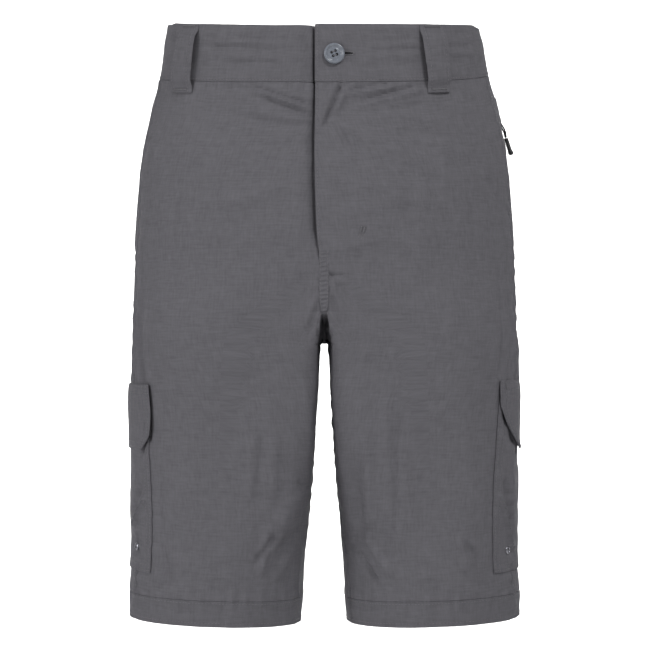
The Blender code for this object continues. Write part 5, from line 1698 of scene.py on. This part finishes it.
def pocket_piece(half):
    """A cargo pocket: a low dome of cloth with a crinkled face and a gathered bottom."""
    rows = slice(half.row_at(POCKET_TOP_Z), half.row_at(POCKET_BOTTOM_Z) + 1)
    cols = half.pocket_cols
    points, normals = half.points[rows, cols], half.normals[rows, cols]
    s, z = half.round[rows, cols], half.level[rows, cols]
    s_share = (s - half.pocket_front) / (POCKET_BACK_S - half.pocket_front)
    z_share = (POCKET_TOP_Z - z) / (POCKET_TOP_Z - POCKET_BOTTOM_Z)
    dome = (np.sin(math.pi * s_share) * np.sin(math.pi * z_share)).clip(0.0) ** 0.8
    stand = 0.1 + POCKET_PUFF * dome
    from_side = np.minimum(s - half.pocket_front, POCKET_BACK_S - s)
    from_bottom = z - POCKET_BOTTOM_Z
    inside = ease(np.minimum(from_side, from_bottom) / 9.0)
    spots = np.stack([s, z, np.full_like(s, 3.0 if half.side == "left" else 9.0)], -1)
    stand += inside * layered(spots, POCKET_RIPPLES)
    stand += 0.2 * np.sin(s / 1.7 + 2.0 * ripples(spots, (17.0, 90.0, 1.0))) * np.exp(
        -((from_bottom - 4.0) / 5.0) ** 2)
    stand = np.maximum(stand, 0.05)
    sewn("cargo_pocket_cloth_" + half.side, shelled(points, normals, POCKET_CLOTH, stand),
         normals, grid_uv(half, rows, cols) + (7.0, 31.0), "cloth",
         "cargo_pocket_" + half.side)


def flap_piece(half):
    """The flap, sewn along its top and lying over the pocket's mouth."""
    z = np.linspace(FLAP[0][0] + FLAP_TOP_SHIFT[half.side], FLAP[-1][0], FLAP_ROWS)
    start, end, rise = (looked_up(z, FLAP, FLAP_COLUMNS, key)
                        for key in ("front_" + half.side, "back", "lift"))
    shares = np.concatenate([
        np.linspace(0.0, FLAP_CORNER_SHARE, FLAP_CORNER_COLS)[:-1],
        np.linspace(FLAP_CORNER_SHARE, 1.0, FLAP_COLS - FLAP_CORNER_COLS + 1)])
    s = start[:, None] + shares * (end - start)[:, None]
    level = np.tile(z[:, None], (1, FLAP_COLS))
    base, ways = half.lay(s, level)
    down = (level - z[0]) / (z[-1] - z[0])
    corner = FLAP_CORNER_LIFT[half.side] * down ** 1.5 * ease(1 - shares / 0.25)
    spots = np.stack([s, level, np.full_like(s, 2.0 if half.side == "left" else 6.0)], -1)
    uneven = 0.15 + 1.3 * np.abs(ripples(spots, (24.0, 60.0, 0.7)))
    gather = (0.75 * uneven * np.sin(s / 1.35 + 5.0 * ripples(spots, (19.0, 40.0, 1.0)))
              * np.exp(-((down - 0.25) / 0.4) ** 2) * ease(down / 0.06))
    wave = layered(spots, FLAP_RIPPLES) * ease(down / 0.3)
    stand = LAP_GAP + rise[:, None] + corner + gather + wave
    sewn("cargo_flap_cloth_" + half.side,
         shelled(base, ways, FLAP_CLOTH, np.maximum(stand, 0.3)), ways,
         np.stack([s, level], -1) + (3.0, 57.0), "cloth", "cargo_flap_" + half.side)


def eyelet_piece(half):
    """A drain eyelet at a cargo pocket's lower front corner."""
    x, z = EYELETS[half.side]
    s = half.round_at_x("front", abs(x), z)
    rows = half.row_at(z) - half.row_at(POCKET_TOP_Z)
    cols = FRONT_NEAR * (s - half.pocket_front) / -half.pocket_front
    skin = "cargo_pocket_cloth_" + half.side
    spot, way, _ = seam_line(skin, [rows, rows + 1], [cols, cols], 0.1)
    place = facing(way[0], spot[0])
    profile = round_profile(((0.0, -0.25), (EYELET_BORE, -0.25), (EYELET_BORE, 0.5),
                             (EYELET_BORE + 0.4, EYELET_T), (EYELET_R - 1.0, EYELET_T),
                             (EYELET_R, 0.15), (EYELET_R - 0.1, -0.4), (0.0, -0.4)), 0.3)
    mesh = work_mesh("eyelet_" + half.side, turned(profile, 40), place)
    add_piece("eyelet_" + half.side, mesh, "eyelet_metal",
              ["cargo_eyelet_" + half.side])


class TROUSERS_OT_cargo_pockets(bpy.types.Operator):
    """Make the cargo pockets, their flaps and their drain eyelets"""
    bl_idname = "trousers.cargo_pockets"
    bl_label = "Cargo pockets"

    def execute(self, context):
        for side in SIDES:
            half = half_of(side)
            pocket_piece(half)
            flap_piece(half)
            eyelet_piece(half)
        return {"FINISHED"}


def hem_pieces(half):
    """The band round a hem, and the zip half just inside it."""
    rows, cols = slice(half.hem_row, None), slice(0, -1)
    points, normals = half.points[rows, cols], half.normals[rows, cols]
    skins = [pull_in(skin, "rows", "first", tuck(HEM_CLOTH) - 0.3)
             for skin in (points, points - normals * HEM_CLOTH)]
    uv = grid_uv(half, rows, cols)
    sewn("hem_cloth_" + half.side, skins, normals, uv, "band_cloth",
         "hem_band_" + half.side, ring=True)
    inside = half.smooth[rows, cols] - normals * (HEM_CLOTH + HEM_TAPE)
    tape = np.stack([inside[0] - (0.0, 0.0, 1.0), inside[2], inside[4] - (0.0, 0.0, 2.5)])
    way = normals[:5:2]
    sewn("hem_zip_tape_" + half.side, (tape, tape - way * HEM_TAPE), way, uv[:5:2],
         "zip_tape", "hem_zip_" + half.side, ring=True, cut=False)


class TROUSERS_OT_hems(bpy.types.Operator):
    """Make the hem bands and the zip halves inside them"""
    bl_idname = "trousers.hems"
    bl_label = "Hem bands"

    def execute(self, context):
        for side in SIDES:
            hem_pieces(half_of(side))
        return {"FINISHED"}


def hip_strip(half, name, node, slot, shift, width, thickness, out):
    """A strip down a hip pocket's opening, whose ends run into the cloth."""
    t = np.linspace(0.0, 1.0, HIP_ROWS)
    z = HIP_TOP_Z + (HIP_BOTTOM_Z - HIP_TOP_Z) * t
    middle = HIP_TOP_S + (HIP_BOTTOM_S - HIP_TOP_S) * t + shift
    s = middle[:, None] + np.linspace(-0.5, 0.5, HIP_COLS) * width
    level = np.tile(z[:, None], (1, HIP_COLS))
    base, ways = half.lay(s, level)
    ends = ease(np.minimum(t, 1 - t) / 0.05)[:, None]
    sewn(name, shelled(base, ways, thickness, (out + thickness) * ends - thickness), ways,
         np.stack([s, level], -1), slot, node, cut=False)


class TROUSERS_OT_hip_pockets(bpy.types.Operator):
    """Make the hip pockets' welts, and the zip and slider of the wearer's left one"""
    bl_idname = "trousers.hip_pockets"
    bl_label = "Hip pockets"

    def execute(self, context):
        shift = -(WELT_WIDTH + ZIP_WIDTH) / 2 - 2 * SEAM_GAP
        for side in SIDES:
            hip_strip(half_of(side), "hip_welt_cloth_" + side, "hip_welt_" + side, "cloth",
                      shift, WELT_WIDTH, WELT_CLOTH, 0.1)
        hip_strip(half_of("left"), "hip_zip_tape", "hip_zip_left", "zip_tape", 0.0,
                  ZIP_WIDTH, ZIP_CLOTH, LAP_GAP)
        for node, width in (("hip_zip_slider", 0.35), ("hip_zip_crown", 0.3)):
            add_piece(node + "_cast", refined(node, node + "_cast", width), "zip_metal",
                      [node])
        return {"FINISHED"}


def fly_sheet(name, node, slot, x_range, z_range, behind, thickness, cut):
    """A flat strip behind the lapped fly."""
    x, z = np.meshgrid(np.linspace(*x_range, FLY_COLS), np.linspace(*z_range, FLY_ROWS))
    y = front_depth_at(x, z)
    outer = np.stack([x, y + behind, z + level_tilt("left", abs(x), y, z)], -1)
    ahead = np.broadcast_to([0.0, -1.0, 0.0], outer.shape)
    sewn(name, (outer, outer + (0.0, thickness, 0.0)), ahead, np.stack([x, z], -1), slot,
         node, cut=cut)


def crotch_path():
    """The line of the crotch and seat seam, from the end of the fly to the waistband."""
    left = half_of("left")
    hook, last = left.hook_row, left.keep.shape[1]
    route = ([(row, left.front_col) for row in range(left.row_at(CROTCH_SEAM_Z), hook)]
             + [(hook, col) for col in range(left.front_col, -1, -1)]
             + [(hook, col) for col in range(last - 1, left.back_col, -1)]
             + [(row, left.back_col) for row in range(hook, left.seam_row, -1)])
    rows, cols = np.transpose(route)
    spots, ways = left.smooth[rows, cols], left.normals[rows, cols]
    spots[:, 0] = ways[:, 0] = 0.0
    run = run_along(step_lengths(spots))
    even = np.arange(0.0, run[-1], CROTCH_STEP)
    spots, ways = (np.stack([np.interp(even, run, v[:, k]) for k in range(3)], -1)
                   for v in (spots, ways))
    for _ in range(4):
        ways[1:-1] = ways[:-2] + 2 * ways[1:-1] + ways[2:]
        ways = unit(ways)
    return even, spots, ways


def crotch_seam():
    """The felled seam of the crotch and seat, gathered into rungs below the fly."""
    run, spots, ways = crotch_path()
    u = np.linspace(-1.0, 1.0, CROTCH_COLS + 1)
    x = (CROTCH_SEAM_X[0] + CROTCH_SEAM_X[1]) / 2 + u * (
        CROTCH_SEAM_X[1] - CROTCH_SEAM_X[0]) / 2
    narrow = 1.0 - CROTCH_NARROW * ease((run - CROTCH_NARROW_FROM) / CROTCH_NARROW_OVER)
    across = narrow[:, None] * x
    base = spots[:, None] + np.stack([across, 0 * across, 0 * across], -1)
    way = np.tile(ways[:, None], (1, len(x), 1))
    drift = 1.5 * np.sin(run / 9.0)[:, None] + 0.8 * u
    rung = np.sin(2 * math.pi * run[:, None] / CROTCH_RUNG + drift) * (1 - u ** 2)
    depth = np.where(run < CROTCH_RUNGS_END, CROTCH_RUNG_DEPTH, 0.25 * CROTCH_RUNG_DEPTH)
    fade = ease(run / 5.0)[:, None]
    stand = -0.35 + (depth[:, None] * rung + 0.75 - 0.3 * u ** 4) * fade
    outer, inner = shelled(base, way, CROTCH_CLOTH, stand)
    SKINS["crotch_seam"] = (outer, way)
    mesh = wall("crotch_seam", outer, inner, np.stack(np.meshgrid(x, run), -1))
    add_piece("crotch_seam", mesh, "cloth")


class TROUSERS_OT_fly(bpy.types.Operator):
    """Make the fly's shield and zip, and the felled seam below them"""
    bl_idname = "trousers.fly"
    bl_label = "Fly"

    def execute(self, context):
        under = LAP_DIP["panel"] + GROOVE_DEPTH + CLOTH + LAP_GAP + FOLD_ROOM
        fly_sheet("fly_zip_tape", "fly_zip", "zip_tape", FLY_ZIP_X, FLY_Z, under, TAPE, False)
        fly_sheet("fly_shield_cloth", "fly_shield", "cloth", SHIELD_X,
                  (FLY_Z[0], FLY_Z[1] - SHIELD_BELOW), under + TAPE + SEAM_GAP, CLOTH, True)
        crotch_seam()
        return {"FINISHED"}


# ---------------------------------------------------------------- button

def button_disc(place, holes):
    """The turned disc with its rim and dish, bored through at the four holes."""
    low, top, dish = SHANK_T, SHANK_T + BUTTON_T, BUTTON_R - BUTTON_RIM
    profile = round_profile(
        ((0.0, 0.0), (SHANK_R, 0.0), (SHANK_R, low), (BUTTON_R - 1.2, low),
         (BUTTON_R, low + 1.1), (BUTTON_R, top - 0.9), (BUTTON_R - 0.9, top),
         (dish, top - 0.1), (dish - 1.2, top - 1.2), (dish - 2.2, top - 1.3),
         (dish - 2.8, top - BUTTON_DISH), (0.0, top - BUTTON_DISH)), 0.5, 5)
    button = placed("button_blank", work_mesh("button_blank", turned(profile, 96), place,
                                              BUTTON_SHARP))
    cutters = []
    for i, spot in enumerate(holes):
        bore = bmesh.new()
        bmesh.ops.create_cone(bore, cap_ends=True, segments=32, radius1=BUTTON_HOLE_R,
                              radius2=BUTTON_HOLE_R, depth=8.0,
                              matrix=Matrix.Translation(spot + Vector((0, 0, 2.0))))
        cutter = placed(f"hole_{i}", work_mesh(f"hole_{i}", bore, place))
        cutters.append(cutter)
        cut = button.modifiers.new(f"hole_{i}", "BOOLEAN")
        cut.operation, cut.solver, cut.object = "DIFFERENCE", "EXACT", cutter
    mesh = plain_mesh(button, "waist_button_disc")
    for cutter in cutters:
        bpy.data.objects.remove(cutter)
    mesh.set_sharp_from_angle(angle=math.radians(BUTTON_SHARP))
    return mesh


def button_thread(place, holes):
    """Two threads side by side over each pair of holes."""
    joined = bmesh.new()
    for a, b in ((0, 1), (3, 2)):
        for side in (-0.22, 0.22):
            start, end = holes[a], holes[b]
            way = (end - start).normalized()
            offset = Vector((-way.y, way.x, 0.0)) * side
            height = SHANK_T + BUTTON_T - BUTTON_DISH - 0.5
            route = [tuple(place @ (start.lerp(end, t) + offset + Vector(
                (0, 0, height + 0.75 * math.sin(math.pi * t)))))
                for t in np.linspace(0.0, 1.0, 12)]
            joined.from_mesh(tube("button_thread", np.array(route), 0.24, 8))
    return mesh_from("button_thread", joined)


class TROUSERS_OT_button(bpy.types.Operator):
    """Turn the four-hole waist button and sew it on"""
    bl_idname = "trousers.button"
    bl_label = "Waist button"

    def execute(self, context):
        low, high = (Vector(corner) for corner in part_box("waist_button"))
        centre = (low + high) / 2 + Vector((BUTTON_SLIP * MM, 0.0, 0.0))
        place = facing((0.0, -1.0, 0.0), Vector((centre.x, high.y, centre.z)) / MM)
        angles = [math.radians(45 + BUTTON_TURN + 90 * i) for i in range(4)]
        holes = [Vector((math.cos(a), math.sin(a), 0.0)) * BUTTON_HOLE_OUT for a in angles]
        add_piece("waist_button_disc", button_disc(place, holes), "button_plastic",
                  ["waist_button"])
        add_piece("button_thread", button_thread(place, holes), "thread")
        return {"FINISHED"}


# ---------------------------------------------------------------- stitching

def across_rows(skin, row, first=0.0, last=None):
    """A stitch line along a row of a skin."""
    last = SKINS[skin][0].shape[1] - 1 if last is None else last
    count = int(abs(last - first) * 2) + 2
    return seam_line(skin, np.full(count, float(row)), np.linspace(first, last, count))


def down_cols(skin, col, first=0.0, last=None):
    """A stitch line down a column of a skin."""
    last = SKINS[skin][0].shape[0] - 1 if last is None else last
    count = int(abs(last - first) * 2) + 2
    return seam_line(skin, np.linspace(first, last, count), np.full(count, float(col)))


def edge_lines(skin, distances, first):
    """Lines down both ends of a skin and along its bottom, at distances in."""
    lines = []
    for distance in distances:
        ends = [inset(skin, "cols", distance, start) for start in (0, -1)]
        bottom = inset(skin, "rows", distance, -1)
        lines += [down_cols(skin, end, first, bottom) for end in ends]
        lines.append(across_rows(skin, bottom, *ends))
    return lines


def end_lines(skin, distance, first, last):
    """One line down each end of a skin."""
    return [down_cols(skin, inset(skin, "cols", distance, start), first, last)
            for start in (0, -1)]


def band_lines():
    left, right = ("waistband_cloth_" + side for side in SIDES)
    lines = [across_rows(skin, inset(skin, "rows", 1.5, -1), first)
             for skin, first in ((left, 0.6), (right, 1.0))]
    rows = SKINS[left][0].shape[0] - 1
    lines.append(down_cols(left, inset(left, "cols", 1.8), 0.6, rows - 0.6))
    for row in LOOPS:
        lines += end_lines("belt_loop_cloth_" + row[0], 3.2, 1.0, LOOP_ROWS - 2)
    return lines


def panel_lines():
    lines = []
    for side in SIDES:
        half = half_of(side)
        hook = half.hook_row - half.seam_row
        last = half.hem_row - half.seam_row - 0.6
        back = "back_panel_" + side
        for start, first in ((0, 0.6), (-1, hook + 12.0)):
            lines += [down_cols(back, inset(back, "cols", distance, start), first, last)
                      for distance in PANEL_STITCHES["inseam" if start else "back_side"]]
    half, skin = half_of("left"), "front_panel_left"
    fly_end = half.row_at(FLY_STITCH_END_Z) - half.seam_row
    fly_col = inset(skin, "cols", PANEL_STITCHES["fly"], HOOK_COLS)
    lines.append(down_cols(skin, fly_col, 0.6, fly_end))
    rows = SKINS["crotch_seam"][0].shape[0] - 1
    for share in (0.08, 0.92):
        lines.append(down_cols("crotch_seam", CROTCH_COLS * share, 1.0, rows - 1.0))
    return lines


def pocket_lines():
    lines = []
    for side in SIDES:
        flap = "cargo_flap_cloth_" + side
        lines += edge_lines("cargo_pocket_cloth_" + side, POCKET_STITCHES, 0.5)
        lines += [across_rows(flap, inset(flap, "rows", distance))
                  for distance in FLAP_TOP_STITCHES]
        lines += edge_lines(flap, FLAP_STITCHES, 1.0)
        lines += end_lines("hip_welt_cloth_" + side, 1.5, 0.5, HIP_ROWS - 1.5)
    return lines


def hem_lines():
    lines = []
    for side in SIDES:
        skin = "hem_round_" + side
        SKINS[skin] = tuple(closed(grid) for grid in SKINS["hem_cloth_" + side])
        lines.append(across_rows(skin, inset(skin, "rows", 1.8)))
        lines.append(across_rows(skin, inset(skin, "rows", 3.0, -1)))
    return lines


def tack_lines():
    """Bartacks at the ends of the belt loops, flaps and hip pockets, and on the fly."""
    across, down = (0, 1), (1, 0)
    tacks = [bartack("belt_loop_cloth_" + row[0], end, LOOP_COLS // 2, across, 15.0)
             for row in LOOPS for end in (1, -3)]
    for side in SIDES:
        tacks += [bartack("cargo_flap_cloth_" + side, 2, end, down, 6.0) for end in (4, -4)]
        tacks += [bartack("hip_welt_cloth_" + side, end, HIP_COLS // 2, across, 8.0)
                  for end in (1, -2)]
    points, normals = SKINS["front_panel_left"]
    half = half_of("left")
    row = half.row_at(FLY_TACK_Z) - half.seam_row
    col = HOOK_COLS + int(np.argmin(abs(points[row, HOOK_COLS:, 0] - FLY_TACK_X)))
    return tacks + [bars_along(points[row, col] + np.array([slip, 0.0, 0.0]),
                               normals[row, col], (0.3, 0.0, 1.0), FLY_TACK_LENGTH)
                    for slip in (-1.4, 1.6)]


def coil_lines():
    """The turns of the coil down the hip zip, down the fly and round the hem zips."""
    lines = [down_cols("hip_zip_tape", HIP_COLS // 2, 0.5, HIP_ROWS - 1.5)[:2],
             down_cols("fly_zip_tape", (FLY_COLS - 1) / 2, 0.5, FLY_ROWS - 1.5)[:2]]
    for side in SIDES:
        ring, way = (closed(grid)[2] for grid in SKINS["hem_zip_tape_" + side])
        lines.append((ring - np.array([0.0, 0.0, 0.4]) - way * 0.45, way))
    return [(points, ways, unit(np.cross(ways, along(points)))) for points, ways in lines]


class TROUSERS_OT_stitching(bpy.types.Operator):
    """Sew every seam, hem and edge, and lay the coils of the zips"""
    bl_idname = "trousers.stitching"
    bl_label = "Stitching and coils"

    def execute(self, context):
        sewing = context.scene.trousers_stitch
        size = (sewing.length, sewing.thickness, THREAD_HEIGHT * sewing.thickness)
        for name, lines, slot in (
                ("stitches_waistband", band_lines(), "band_cloth"),
                ("stitches_panels", panel_lines(), "cloth"),
                ("stitches_pockets", pocket_lines(), "cloth"),
                ("stitches_hems", hem_lines(), "band_cloth")):
            lay_beads(name, lines, sewing.pitch, size, "thread")
        lay_beads("bartacks", tack_lines(), TACK_PITCH, TACK_BEAD, "thread", 0.15)
        lay_beads("zip_coils", coil_lines(), context.scene.trousers_hardware.coil_pitch,
                  COIL_BEAD, "zip_coil", 0.0)
        return {"FINISHED"}


# ---------------------------------------------------------------- add-on

OPERATORS = (TROUSERS_OT_stage, TROUSERS_OT_hip_pull, TROUSERS_OT_panels,
             TROUSERS_OT_waistband, TROUSERS_OT_belt_loops, TROUSERS_OT_cargo_pockets,
             TROUSERS_OT_hems, TROUSERS_OT_hip_pockets, TROUSERS_OT_fly,
             TROUSERS_OT_button, TROUSERS_OT_stitching)


class TROUSERS_PT_panel(bpy.types.Panel):
    """Sizes, colours and building steps of the trousers"""
    bl_idname = "TROUSERS_PT_panel"
    bl_label = "Convertible Trousers"
    bl_space_type = "VIEW_3D"
    bl_region_type = "UI"
    bl_category = "Trousers"

    def draw(self, context):
        for operator in OPERATORS:
            self.layout.operator(operator.bl_idname)
        for key, group in SETTINGS:
            box = self.layout.box()
            for name in group.__annotations__:
                box.prop(getattr(context.scene, key), name)


CLASSES = tuple(group for _, group in SETTINGS) + OPERATORS + (TROUSERS_PT_panel,)


def register():
    for made in CLASSES:
        bpy.utils.register_class(made)
    for key, group in SETTINGS:
        setattr(bpy.types.Scene, key, bpy.props.PointerProperty(type=group))


def unregister():
    for key, _ in SETTINGS:
        delattr(bpy.types.Scene, key)
    for made in reversed(CLASSES):
        bpy.utils.unregister_class(made)


def main():
    register()
    bpy.ops.trousers.stage()
    bpy.ops.trousers.hip_pull()
    bpy.ops.trousers.panels()
    bpy.ops.trousers.waistband()
    bpy.ops.trousers.belt_loops()
    bpy.ops.trousers.cargo_pockets()
    bpy.ops.trousers.hems()
    bpy.ops.trousers.hip_pockets()
    bpy.ops.trousers.fly()
    bpy.ops.trousers.button()
    bpy.ops.trousers.stitching()


if __name__ == "__main__":
    main()
